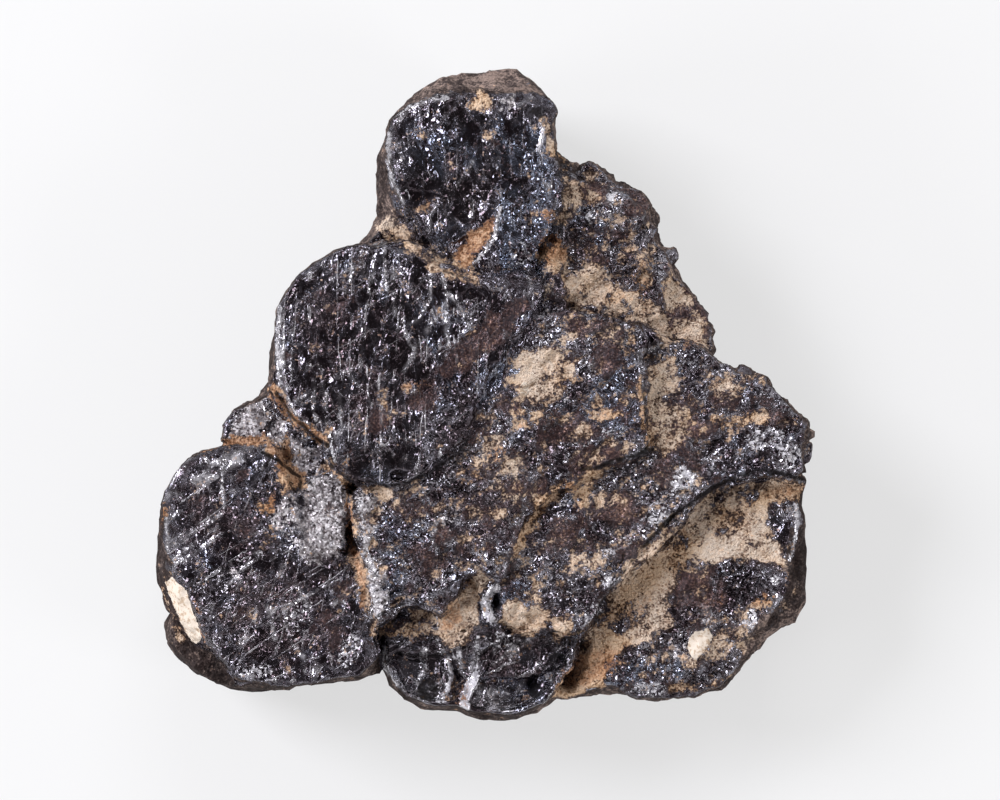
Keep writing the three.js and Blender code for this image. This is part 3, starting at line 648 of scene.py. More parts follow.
# Clean, glassy black places with hardly a glint.
BLACK = {
    1.0: [spot(536, 110, 14, 8), spot(513, 228, 10, 7), patch((472, 266), (484, 252), (498, 246),
        (496, 262)), spot(535, 688, 9, 8)],
    0.9: [patch((400, 425), (430, 412), (470, 390), (505, 350), (500, 375), (470, 420),
        (440, 440)), patch((400, 660), (420, 668), (446, 690), (430, 706), (404, 694)),
        spot(755, 588, 26, 16, -20), spot(662, 264, 11, 15, -15), spot(260, 462, 22, 8, 10),
        spot(498, 603, 3, 9)],
    0.8: [spot(400, 470, 40, 10, -15), spot(690, 356, 14, 8), spot(745, 470, 40, 7),
        spot(650, 336, 8), spot(385, 595, 8, 16, 20)],
    0.7: [spot(780, 530, 12, 20), spot(625, 196, 16, 7, 30)],
    0.6: [spot(200, 475, 20, 12)],
}

PALE = {
    1.0: [patch((165, 582), (172, 577), (186, 590), (193, 611), (202, 638), (196, 645), (186, 634),
        (178, 615), (170, 597))],
    0.95: [patch((688, 640), (695, 632), (708, 628), (714, 636), (705, 650), (696, 662),
        (688, 652))],
    0.5: [spot(525, 388, 6, 8)],
    0.4: [spot(484, 96, 5, 4)],
}

# How deep the surface is cut, in mm, along seams, under ledges and in pits.
CUTS = {
    0.8: [spot(497, 603, 3, 10, -8), band(1.2, (376, 590), (394, 582)), band(1.2, (378, 602),
        (400, 592)), band(1.2, (380, 614), (402, 603))],
    0.7: [band(2.5, (272, 388), (284, 410), (300, 426), (326, 444), (334, 466), (352, 480),
        (385, 494)), band(1.8, (376, 640), (420, 640), (445, 645), (480, 634), (520, 640),
        (560, 638), (590, 630)), band(1.2, (382, 624), (400, 616)), spot(402, 474, 7, 4, -15)],
    0.6: [band(1.8, (652, 450), (620, 457), (579, 468))],
    0.5: [band(2.0, (384, 238), (402, 242), (416, 252), (448, 274), (475, 280)), band(2.0,
        (806, 484), (770, 478), (742, 480), (708, 492), (672, 521), (648, 548), (618, 580),
        (598, 604)), spot(230, 573, 9, 7, 30), band(1.6, (449, 650), (452, 672), (466, 692),
        (462, 718)), spot(428, 466, 5, 3), spot(345, 470, 8, 5, 20)],
    0.45: [band(1.4, (303, 560), (325, 564), (346, 554)), band(1.6, (349, 485), (353, 508),
        (351, 549), (364, 574), (364, 609), (376, 640), (380, 675))],
    0.4: [spot(426, 205, 10, 7, -20), patch((494, 220), (470, 234), (452, 262), (475, 272),
        (482, 252)), spot(536, 687, 9, 8), spot(430, 688, 12, 10), band(1.6, (556, 230),
        (600, 238), (640, 232)), spot(622, 262, 5), spot(645, 268, 6, 16, -10), band(1.6,
        (612, 190), (640, 225), (652, 245))],
    0.35: [band(1.0, (475, 280), (500, 278), (530, 280), (545, 290)), patch((504, 608), (548, 608),
        (562, 624), (535, 634), (512, 628))],
    0.3: [band(1.2, (286, 436), (289, 470)), band(1.6, (560, 300), (610, 322), (650, 320))],
    0.22: [patch((403, 407), (448, 354), (506, 304), (527, 298), (512, 328), (469, 366),
        (439, 403), (418, 411))],
    0.15: [band(1.6, (200, 449), (223, 443), (264, 441), (280, 455), (284, 471), (291, 487))],
}

# Hollows that are filled up to a height in mm above the table.
FILLS = [
    (13.7, patch((480, 560), (456, 582), (440, 602), (430, 628), (446, 652), (480, 652),
        (504, 640), (502, 616), (482, 610), (482, 598), (496, 580))),
    (12.9, patch((384, 622), (440, 616), (470, 640), (500, 640), (504, 660), (384, 652))),
    (15.0, patch((534, 262), (548, 256), (562, 272), (566, 296), (562, 318), (540, 318),
        (534, 300))),
]

# What stands out, in mm.
RISES = {
    0.8: [patch((498, 583), (487, 590), (480, 602), (483, 616), (492, 624), (496, 618), (491, 608),
        (492, 597), (500, 589))],
    0.5: [spot(662, 264, 10, 15, -15), spot(571, 272, 6), spot(620, 269, 5),
        spot(650, 336, 10, 9)],
    0.4: [spot(622, 300, 4), spot(632, 210, 18, 9, 45)],
    0.35: [spot(600, 215, 20, 13, -30)],
    0.3: [spot(700, 645, 13, 15, 20), spot(582, 506, 4)],
    0.25: [band(3, (450, 652), (446, 690)), band(3, (426, 646), (424, 676))],
}


# ------------------------------------------------------------------ the fine surface

VOXEL = 0.19  # mm
LIMIT = 195_000  # triangles
REST_BAND = 1.2  # mm above the table, over which the carving fades out
FILL_FLOOR = 8.0  # mm above the table, below which no hollow is filled
RIM_FLOOR = 3.0  # mm above the table, below which no rim is chipped
PALE_FLOOR = 6.0  # mm above the table, below which no pale grain shows
CHIPPED_RIM = -0.10  # how sunken in mm a rim is where it is chipped most
DEEP_HOLLOW = 0.08  # how sunken in mm a hollow is that counts in full
HIDDEN_UNDER = 4.0  # mm above the table, below which the surface may be coarse
HIDDEN_SLOPE = 0.2  # how far up a face looks before it has to stay fine

# Bowls that meet in crests: size in mm, tilt, lift, bow and seed.
BOWLS = {
    "wide": ((3.4, 4.2, 3.0), 0.10, 0.05, 0.10, 51),
    "chips": ((1.5, 1.9, 1.5), 0.16, 0.05, 0.22, 41),
    "nicks": ((0.75, 1.1, 0.8), 0.18, 0.03, 0.22, 45),
    "shells": ((2.6, 2.2, 2.4), 0.30, 0.10, 0.32, 61),
    "flats": ((2.4, 2.8, 2.4), 0.45, 0.12, 0.18, 65),
}

# What the covers vary by: size in mm, octaves, seed and gain.
VARIATIONS = {
    "clouds": (3.6, 3, 201, 0.5),
    "mottle": (1.5, 3, 211, 0.7),
    "other": (1.1, 3, 221, 0.7),
    "patchy": (1.7, 3, 231, 0.6),
    "bunched": (2.0, 3, 251, 0.65),
}


def add_object(name, data):
    """A new object in the scene."""
    made = bpy.data.objects.new(name, data)
    bpy.context.scene.collection.objects.link(made)
    return made


def loose_copy(node):
    """A copy of a CAD node's mesh, its loose triangles joined at their corners, in mm."""
    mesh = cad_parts[node].data.copy()
    bm = bmesh.new()
    bm.from_mesh(mesh)
    bmesh.ops.remove_doubles(bm, verts=bm.verts, dist=1e-6)
    bmesh.ops.scale(bm, vec=(1 / MM,) * 3, verts=bm.verts)
    bm.to_mesh(mesh)
    bm.free()
    return add_object("ilmenite_surface", mesh)


def apply(piece, kind, **settings):
    """Adds a modifier and makes its result the piece's mesh."""
    modifier = piece.modifiers.new(kind.lower(), kind)
    for name, value in settings.items():
        setattr(modifier, name, value)
    depsgraph = bpy.context.evaluated_depsgraph_get()
    mesh = bpy.data.meshes.new_from_object(piece.evaluated_get(depsgraph))
    piece.modifiers.clear()
    old, piece.data = piece.data, mesh
    bpy.data.meshes.remove(old)


def read(items, what, kind=np.float32, wide=3):
    """What each vertex, normal or edge holds, one row for each."""
    rows = np.empty(len(items) * wide, kind)
    items.foreach_get(what, rows)
    return rows.reshape(-1, wide)


def measure(piece):
    """Places and normals of a piece's vertices, and the pairs that its edges join."""
    mesh = piece.data
    return (read(mesh.vertices, "co"), read(mesh.vertex_normals, "vector"),
            read(mesh.edges, "vertices", np.int32, 2))


def write(piece, places):
    """Moves a piece's vertices."""
    piece.data.vertices.foreach_set("co", places.astype(np.float32).ravel())
    piece.data.update()


def settled(values, pairs, rounds):
    """Values averaged with their neighbours' that many times."""
    n = len(values)
    count = np.bincount(pairs.ravel(), minlength=n)
    for _ in range(rounds):
        columns = []
        for k in range(values.shape[1]):
            v = values[:, k]
            total = np.bincount(pairs[:, 0], v[pairs[:, 1]], n)
            total += np.bincount(pairs[:, 1], v[pairs[:, 0]], n)
            columns.append(total / np.maximum(count, 1))
        values = np.stack(columns, 1)
    return values


def facing(n, pairs, rounds):
    """Normals without their fine detail."""
    broad = settled(n, pairs, rounds)
    return broad / (np.linalg.norm(broad, axis=1, keepdims=True) + 1e-9)


def sunken(p, n, pairs, rounds):
    """How far in mm each point lies under its surroundings, negative on crests."""
    return ((settled(p, pairs, rounds) - p) * n).sum(1)


def wander(q, places, size, far, seed):
    """Frame points moved by noise, so that what is laid there gets a natural edge."""
    dx = fractal(places, size, 3, seed)
    dy = fractal(places, size, 3, seed + 7)
    return q + np.stack([dx, dy], 1) * far


def crystals(q, soft, up):
    """How much of each crystal lies at each point."""
    return {name: laid(q, {1: [shape]}, soft) * up for name, shape in CRYSTALS.items()}


def turned(p, degrees):
    """Points turned about the vertical."""
    c, s = math.cos(math.radians(degrees)), math.sin(math.radians(degrees))
    return np.stack([p[:, 0] * c + p[:, 1] * s, p[:, 1] * c - p[:, 0] * s, p[:, 2]], 1)


def to_edge(p):
    """How far inside the cluster's outline each point is, in mm, from a coarse map of it."""
    step, pad, rings = 0.5, 4, 7  # mm, then cells
    low = p[:, :2].min(0) - pad * step
    cell = ((p[:, :2] - low) / step).astype(int)
    size = cell.max(0) + 1 + pad
    filled = np.zeros(size, bool)
    filled[cell[:, 0], cell[:, 1]] = True
    depth = np.zeros(size, np.float32)
    for _ in range(rings):
        depth += filled * step
        filled = filled & np.roll(filled, 1, 0) & np.roll(filled, -1, 0) \
            & np.roll(filled, 1, 1) & np.roll(filled, -1, 1)
    return depth[cell[:, 0], cell[:, 1]]


def carve(piece):
    """Moves the surface: growth steps, etch marks, seams, pits and broken grain."""
    p, n, pairs = measure(piece)
    broad = facing(n, pairs, 6)
    up = ramp(0.35, 0.85, broad[:, 2])
    wall = 1 - up
    q = wander(to_frame(p), p, 1.3, 1.5, 3)
    own = crystals(q, 5, up)
    clay = laid(q, CLAY, 6) * up
    rust = laid(q, RUST, 8) * up
    black = laid(q, BLACK, 6) * up
    grey = laid(q, GREY, 5) * up

    calm = 1 - np.clip(0.5 * clay + 0.5 * rust + 0.6 * black, 0, 0.85)
    etched = np.clip(own["knob"] + own["disc"] + own["left"], 0, 1)
    plain = np.clip(own["middle"] + own["right"], 0, 1)

    wide, chips, nicks, shells, flats = (scallops(p, *kind) for kind in BOWLS.values())
    creases = ridged(p, (0.55, 1.6, 0.9), 3, 21) - 0.55
    crumble = fractal(p, 0.9, 2, 71)
    lumpy = fractal(p, 2.6, 4, 81, 0.6)
    grown = terraces(fractal(turned(p, 38), (4.2, 1.7, 3.0), 4, 141, 0.6), 1.6)
    stepped = terraces(fractal(p, (2.0, 3.0, 3.0), 4, 151, 0.6), 1.5)

    height = 0.02 * fractal(p, 4.5, 2, 11) + 0.5 * wide * up
    height += etched * (0.5 * chips + 0.035 * stepped + calm * (0.55 * nicks + 0.11 * creases))
    height += plain * (0.8 * chips + 0.03 * lumpy + 0.14 * grown
                       + calm * (0.8 * nicks + 0.018 * crumble))
    height += own["rough"] * (0.16 * lumpy + 0.03 * crumble + 0.9 * shells + 0.7 * nicks)
    height += own["low"] * (0.05 * lumpy + 0.012 * crumble
                            + (1 - 0.8 * clay) * (1.0 * chips + 0.8 * nicks + 0.09 * grown))
    height += own["bottom"] * (1.3 * flats + 0.03 * stepped)
    height += grey * 0.07 * (ridged(p, (0.5, 1.6, 0.6), 2, 91) - 0.6)
    height += clay * (0.018 * fractal(p, 1.2, 3, 101) + 0.01 * crumble)

    # seams, ledges and pits, each broken along its way
    sharp = wander(to_frame(p), p, 0.7, 0.5, 5)
    broken = np.clip(0.6 + 0.35 * fractal(p, 1.6, 3, 111), 0.1, 1.2)
    height += (laid(sharp, RISES, 3.0) - laid(sharp, CUTS, 3.5) * broken) * up

    # the rims of the crystals are chipped
    rim = np.clip(sunken(p, n, pairs, 10) / CHIPPED_RIM, 0, 1) * (p[:, 2] > RIM_FLOOR)
    height -= rim * np.clip(0.06 * fractal(p, 1.5, 3, 121) + 0.03, 0, 0.25)

    height += wall * (0.035 * lumpy + 0.012 * crumble + 0.9 * chips + 0.5 * nicks)
    torn = laid(to_frame(p), RAGGED, 8) * wall
    height += torn * np.clip(0.17 * fractal(p, 2.3, 4, 161, 0.65), -0.5, 0.4)

    # The tops move upwards, the walls outwards, and what rests on the table stays.
    along = broad * 0.35 + np.array([0, 0, 0.65]) * up[:, None] + broad * 0.65 * wall[:, None]
    shift = along * height[:, None]
    inner = ramp(0.5, 2.5, to_edge(p))
    for axis in (0, 1):
        shift[:, axis] += 0.12 * fractal(p, 1.8, 4, 131 + axis, 0.6) * inner
    placed = p + shift * ramp(0.0, REST_BAND, p[:, 2])[:, None]
    for level, shape in FILLS:
        high = laid(sharp, {1: [shape]}, 4.0) * (p[:, 2] > FILL_FLOOR)
        short = np.maximum(level + 0.08 * lumpy + 0.5 * chips - placed[:, 2], 0)
        placed[:, 2] += short * high
    write(piece, placed)


def inside_box(piece):
    """Keeps the surface within the solid's own box."""
    low, high = (np.array(corner) / MM for corner in CAD_BOX)
    write(piece, np.clip(measure(piece)[0], low, high))


def thin_out(piece):
    """Fewer triangles where the surface is out of sight below, so that the whole stays in
    its limit."""
    p, n, _ = measure(piece)
    group = piece.vertex_groups.new(name="spare")
    hidden = np.where((n[:, 2] < HIDDEN_SLOPE) | (p[:, 2] < HIDDEN_UNDER))[0]
    group.add([int(i) for i in hidden], 1.0, "REPLACE")
    triangles = sum(len(polygon.vertices) - 2 for polygon in piece.data.polygons)
    apply(piece, "DECIMATE", ratio=min(1.0, LIMIT / triangles), vertex_group="spare",
          vertex_group_factor=4.0)
    piece.vertex_groups.clear()


def store(piece, name, kind, field, values):
    """Keeps numbers or vectors with a piece's vertices, for its finish to read."""
    layer = piece.data.attributes.new(name, kind, "POINT")
    layer.data.foreach_set(field, np.asarray(values, np.float32).ravel())


def paint(piece):
    """Stores how deep each cover lies at each point of the surface. The finish shows a cover
    where its depth is above about a half."""
    p, n, pairs = measure(piece)
    hollow = np.clip(sunken(p, n, pairs, 12) / DEEP_HOLLOW, -1, 1)
    sunk, crest = np.clip(hollow, 0, 1), np.clip(-hollow, 0, 1)
    level = facing(n, pairs, 4)[:, 2]
    up, seen = ramp(0.3, 0.75, level), ramp(0.05, 0.4, level)
    q = wander(to_frame(p), p, 1.8, 2.2, 3)
    near = wander(to_frame(p), p, 0.9, 1.0, 4)
    fine = wander(to_frame(p), p, 0.6, 0.35, 5)
    clouds, mottle, other, patchy, bunched = (fractal(p, *kind) for kind in VARIATIONS.values())

    own = crystals(q, 8, up)
    dull = own["rough"] + 0.85 * own["middle"] + 0.7 * own["right"] + 0.8 * own["low"]
    dull = np.clip(dull, 0, 1)
    black = laid(q, BLACK, 8) * up
    silver = laid(fine, POLISH_AND_PAINTED_GLINT, 1.8) * ramp(0.1, 0.5, level)
    clay = (0.5 * laid(q, CLAY, 12) + 0.6 * laid(near, CLAY, 5)) * seen
    clay *= 1 + 0.10 * clouds - 0.85 * laid(near, SCOURED, 5)
    outer = (1 - up) * (1 - ramp(1.2, 3.0, to_edge(p)))
    outer = np.maximum(outer, laid(near, SIDES, 5)) * (1 - 0.85 * np.clip(silver, 0, 1))
    rust = laid(q, RUST, 9) * seen
    grey = laid(wander(near, p, 0.8, 1.5, 6), GREY, 6) * seen
    covers = {
        "clay": clay * 0.92 + dull * (0.17 - 0.15 * laid(near, SCOURED, 8)) + 0.14 * mottle
        + 0.10 * other + 0.08 * clouds * dull + sunk * (dull * 0.25 + 0.12) - 0.3 * black
        - 0.2 * outer - 0.12 * crest,
        "rust": rust * 0.80 + dull * 0.33 + 0.09 * clouds + 0.20 * patchy - 0.3 * black
        - 0.3 * silver + 0.10 * sunk,
        "orange": laid(near, ORANGE, 6) * seen * 0.85 + 0.12 * other + 0.10 * sunk,
        "grey": grey * 0.9 + 0.12 * other + 0.05 * mottle,
        "wall": outer + 0.10 * mottle,
        "etch": np.clip(0.85 + 0.30 * clouds + 0.20 * mottle - 0.6 * black + 0.3 * silver
                        - 0.75 * own["bottom"] - 0.15 * own["left"]
                        + dull * (0.45 + 0.35 * bunched), 0.12, 2.0),
        "lustre": np.clip(dull * (0.8 + 0.5 * bunched) + own["flakes"] + 0.4 * own["bottom"],
                          0, 1.2),
        # polished places and painted glints; more painted glints are scattered over the dull
        # plates
        "silver": silver + 0.32 * dull * np.clip(bunched + 0.4, 0, 1.2),
        "pale": laid(fine, PALE, 1.4) * (p[:, 2] > PALE_FLOOR),
        "tone": 0.5 + 0.15 * clouds + 0.10 * other - 0.20 * own["bottom"] - 0.10 * own["disc"]
        - 0.05 * own["left"] + 0.05 * dull
        + outer * (0.45 * laid(near, PALER_FLANKS, 10) - 0.35 * laid(near, DARKER_FLANKS, 10) + 0.15 * mottle),
        "drawn": 1 - np.clip(0.78 * own["disc"] + 0.6 * own["knob"] + 0.3 * own["left"], 0, 0.8),
        "swirl": (domains(p, 4.2, 241) - 0.5)
        * np.clip(3.0 * own["left"] + 1.2 * own["knob"] + 0.7 * own["disc"]
                  + 3.0 * own["bottom"], 0, 5),
        "warm": laid(near, GOLD, 9) * 0.9 + 0.10 * mottle + 0.12 * clouds + 0.12,
        "sparkle": np.clip(laid(q, SPARKLE, 7) * up * (1 - 0.85 * own["bottom"])
                           + 0.20 * mottle + dull * (0.3 + 0.2 * bunched) + 0.1, 0, 1.3),
        "scratch": np.clip(0.8 * own["left"] + 0.3 * own["disc"] + 0.5 * own["flakes"]
                           + 0.5 * own["bottom"], 0, 1) * np.clip(0.5 + 0.6 * mottle, 0, 1.3),
        "streak": np.clip(own["disc"] + 0.4 * own["knob"] + 0.8 * own["flakes"], 0, 1)
        * np.clip(0.3 + 0.6 * mottle + 0.3 * clouds, 0, 1.2),
        "blue": laid(near, BLUE, 10) + 0.35 * np.clip(fractal(p, 2.4, 3, 271, 0.6), 0, 1.5),
        "film": laid(q, FILM, 14) * 0.8 + dull * (0.24 - 0.22 * bunched) + 0.16 * clouds
        + 0.14 * mottle,
        # painted shade in the crevices
        "deep": laid(fine, CREVICE_SHADE_LINES, 3.0) * (0.85 + 0.12 * other),
        # raised edges, also painted bright as painted highlights
        "edge": laid(fine, EDGES, 2.2) * seen * np.clip(0.75 + 0.35 * other, 0.1, 1.2),
    }
    for name, values in covers.items():
        store(piece, name, "FLOAT", "value", values)
    shaken = np.stack([noise(p, 0.45, seed) for seed in (281, 282, 283)], 1) * 0.22 * MM
    store(piece, "shaken", "FLOAT_VECTOR", "vector", shaken)


def make_surface():
    """The piece that shows: the solid's own form with its fine surface, in metres."""
    piece = loose_copy(NODE)
    apply(piece, "REMESH", mode="VOXEL", voxel_size=VOXEL, adaptivity=0.0)
    carve(piece)
    inside_box(piece)
    thin_out(piece)
    paint(piece)
    write(piece, measure(piece)[0] * MM)
    for polygon in piece.data.polygons:
        polygon.use_smooth = True
    return piece


# ------------------------------------------------------------------ materials


class Value:
    """A shader socket that takes arithmetic."""

    def __init__(self, finish, socket):
        self.finish, self.socket = finish, socket

    def _maths(self, operation, *terms, clamp=False):
        return self.finish.node("ShaderNodeMath", {"operation": operation, "use_clamp": clamp},
                                dict(enumerate(terms)))

    def __add__(self, other):
        return self._maths("ADD", self, other)

    def __radd__(self, other):
        return self._maths("ADD", other, self)

    def __sub__(self, other):
        return self._maths("SUBTRACT", self, other)

    def __rsub__(self, other):
        return self._maths("SUBTRACT", other, self)

    def __mul__(self, other):
        return self._maths("MULTIPLY", self, other)

    def __rmul__(self, other):
        return self._maths("MULTIPLY", other, self)

    def power(self, other):
        return self._maths("POWER", self, other)

    def most(self, other):
        return self._maths("MAXIMUM", self, other)

    def least(self, other):
        return self._maths("MINIMUM", self, other)

    def held(self):
        """Clamped to 0 to 1."""
        return self._maths("ADD", self, 0.0, clamp=True)

    def above(self, low, high):
        """0 below low, 1 above high, smooth between. low may be above high."""
        return self.finish.node(
            "ShaderNodeMapRange", {"interpolation_type": "SMOOTHSTEP"},
            {"Value": self, "From Min": low, "From Max": high})

    def beside(self, name):
        """Another output of the same node."""
        return Value(self.finish, self.socket.node.outputs[name])


class Finish:
    """The nodes of a material or of the world, and the calls that add them."""

    def __init__(self, owner):
        owner.use_nodes = True
        self.owner, self.tree = owner, owner.node_tree
        self.tree.nodes.clear()

    def node(self, kind, settings=None, inputs=None, output=0):
        """Adds a node: its settings first, then the values or links of its sockets."""
        made = self.tree.nodes.new(kind)
        for name, value in (settings or {}).items():
            if name == "stops":
                stops = made.color_ramp.elements
                while len(stops) < len(value):
                    stops.new(0.5)
                for stop, (place, colour) in zip(stops, value):
                    stop.position, stop.color = place, (*colour, 1.0)
            else:
                setattr(made, name, value)
        for name, value in (inputs or {}).items():
            if isinstance(value, Value):
                self.tree.links.new(value.socket, made.inputs[name])
            else:
                made.inputs[name].default_value = value
        return Value(self, made.outputs[output]) if made.outputs else None

    def cover(self, name, output="Fac"):
        """What is stored with the surface under that name."""
        return self.node("ShaderNodeAttribute", {"attribute_name": name}, output=output)

    def noise(self, place, per_mm, detail, rough, spread):
        """Noise round 0. spread is what makes its own spread about 1."""
        raw = self.node("ShaderNodeTexNoise", {},
                        {"Vector": place, "Scale": per_mm / MM, "Detail": detail,
                         "Roughness": rough})
        return (raw - 0.5) * spread

    def turn(self, place, angle):
        """A place turned about the vertical."""
        return self.node("ShaderNodeVectorRotate", {"rotation_type": "Z_AXIS"},
                         {"Vector": place, "Angle": angle})

    def facets(self, place, per_mm, even=0.0):
        """Heights of flat facets that each tilt their own way, a random number for each, and
        the distance from its middle. Few tilt far unless even is 1 or more."""
        lean = self.node("ShaderNodeTexVoronoi", {}, {"Vector": place, "Scale": per_mm / MM},
                         "Color")
        tilt = self.vector("SUBTRACT", lean, (0.5, 0.5, 0.5))
        if even < 1:
            tilt = self.vector("MULTIPLY", tilt, self.vector("ABSOLUTE", tilt))
            even = 2.0
        away = self.vector("SUBTRACT", place, lean.beside("Position"))
        height = self.vector("DOT_PRODUCT", tilt, away) * (STEEPNESS * even)
        tint = self.node("ShaderNodeSeparateXYZ", {}, {0: lean}, output=2)
        return height, tint, lean.beside("Distance")

    def blend(self, amount, first, second):
        """A colour between two."""
        first, second = (c if isinstance(c, Value) else (*c, 1.0) for c in (first, second))
        return self.node("ShaderNodeMix", {"data_type": "RGBA"},
                         {0: amount, 6: first, 7: second}, output=2)

    def ramp(self, value, stops):
        """A colour picked along a run of them."""
        return self.node("ShaderNodeValToRGB", {"stops": stops}, {"Fac": value})

    def vector(self, operation, *terms):
        """Vector maths. Of what is used here, only a dot product gives a number."""
        return self.node("ShaderNodeVectorMath", {"operation": operation},
                         dict(enumerate(terms)), output=int(operation == "DOT_PRODUCT"))

    def surface(self, **inputs):
        """A shader. Sockets are named with underscores for spaces."""
        return self.node("ShaderNodeBsdfPrincipled", {},
                         {name.replace("_", " "): value for name, value in inputs.items()})

    def shade(self, shader, output="ShaderNodeOutputMaterial"):
        """Makes a shader what shows."""
        self.node(output, {}, {0: shader})
        return self.owner


ORE = (0.192, 0.182, 0.216)
ORE_SHARP = (0.340, 0.330, 0.372)
ORE_BLUE = (0.170, 0.215, 0.310)
ORE_DARK = (0.048, 0.037, 0.043)
# the near-white colour of painted highlights and glints
PAINTED_GLINT_COLOUR = (0.86, 0.84, 0.90)
GRAIN_PALE = (0.70, 0.61, 0.52)
GRAIN_STAINED = (0.47, 0.35, 0.25)

# Each cover from its thinnest film to a thick crust.
RUST_LAYERS = ((0.0, (0.022, 0.011, 0.011)), (0.4, (0.050, 0.026, 0.026)),
               (0.7, (0.100, 0.053, 0.046)), (1.0, (0.20, 0.115, 0.085)))
CLAY_LAYERS = ((0.0, (0.050, 0.032, 0.027)), (0.2, (0.14, 0.092, 0.068)),
               (0.42, (0.31, 0.220, 0.168)), (0.68, (0.51, 0.400, 0.318)),
               (1.0, (0.69, 0.58, 0.49)))
GOLD_LAYERS = ((0.0, (0.045, 0.026, 0.017)), (0.2, (0.14, 0.074, 0.040)),
               (0.42, (0.30, 0.174, 0.100)), (0.68, (0.49, 0.315, 0.195)),
               (1.0, (0.68, 0.49, 0.34)))
ORANGE_LAYERS = ((0.0, (0.085, 0.034, 0.015)), (0.5, (0.34, 0.160, 0.076)),
                 (1.0, (0.68, 0.43, 0.28)))
FLAKE_LAYERS = ((0.0, (0.08, 0.060, 0.062)), (0.5, (0.32, 0.285, 0.300)),
                (1.0, (0.80, 0.76, 0.79)))
WALL_LAYERS = ((0.0, (0.018, 0.012, 0.011)), (0.5, (0.062, 0.045, 0.041)),
               (1.0, (0.290, 0.215, 0.185)))
FILMED = (0.078, 0.056, 0.062)
PAINTED_CREVICE_SHADE = (0.010, 0.008, 0.008)
TABLE_COLOUR = (0.310, 0.312, 0.315, 1)
TABLE_GLOW = 0.555

RELIEF = 0.00014  # m that the bump stands for at full height
STEEPNESS = 7000.0  # rise of a facet across a metre, for a tilt of 1
MIDDLE = 0.5  # of the noise, where a scratch runs
WIDE_LINE, THIN_LINE = 0.00060, 0.00006  # square of the noise's distance from its middle

# Sets of scratches: turn in radians, how much they are drawn out, strength, where they lie.
SCRATCHES = ((0.0, 0.05, 1.0, "streak"), (1.0, 0.08, 1.0, "scratch"),
             (0.25, 0.11, 0.6, "scratch"))


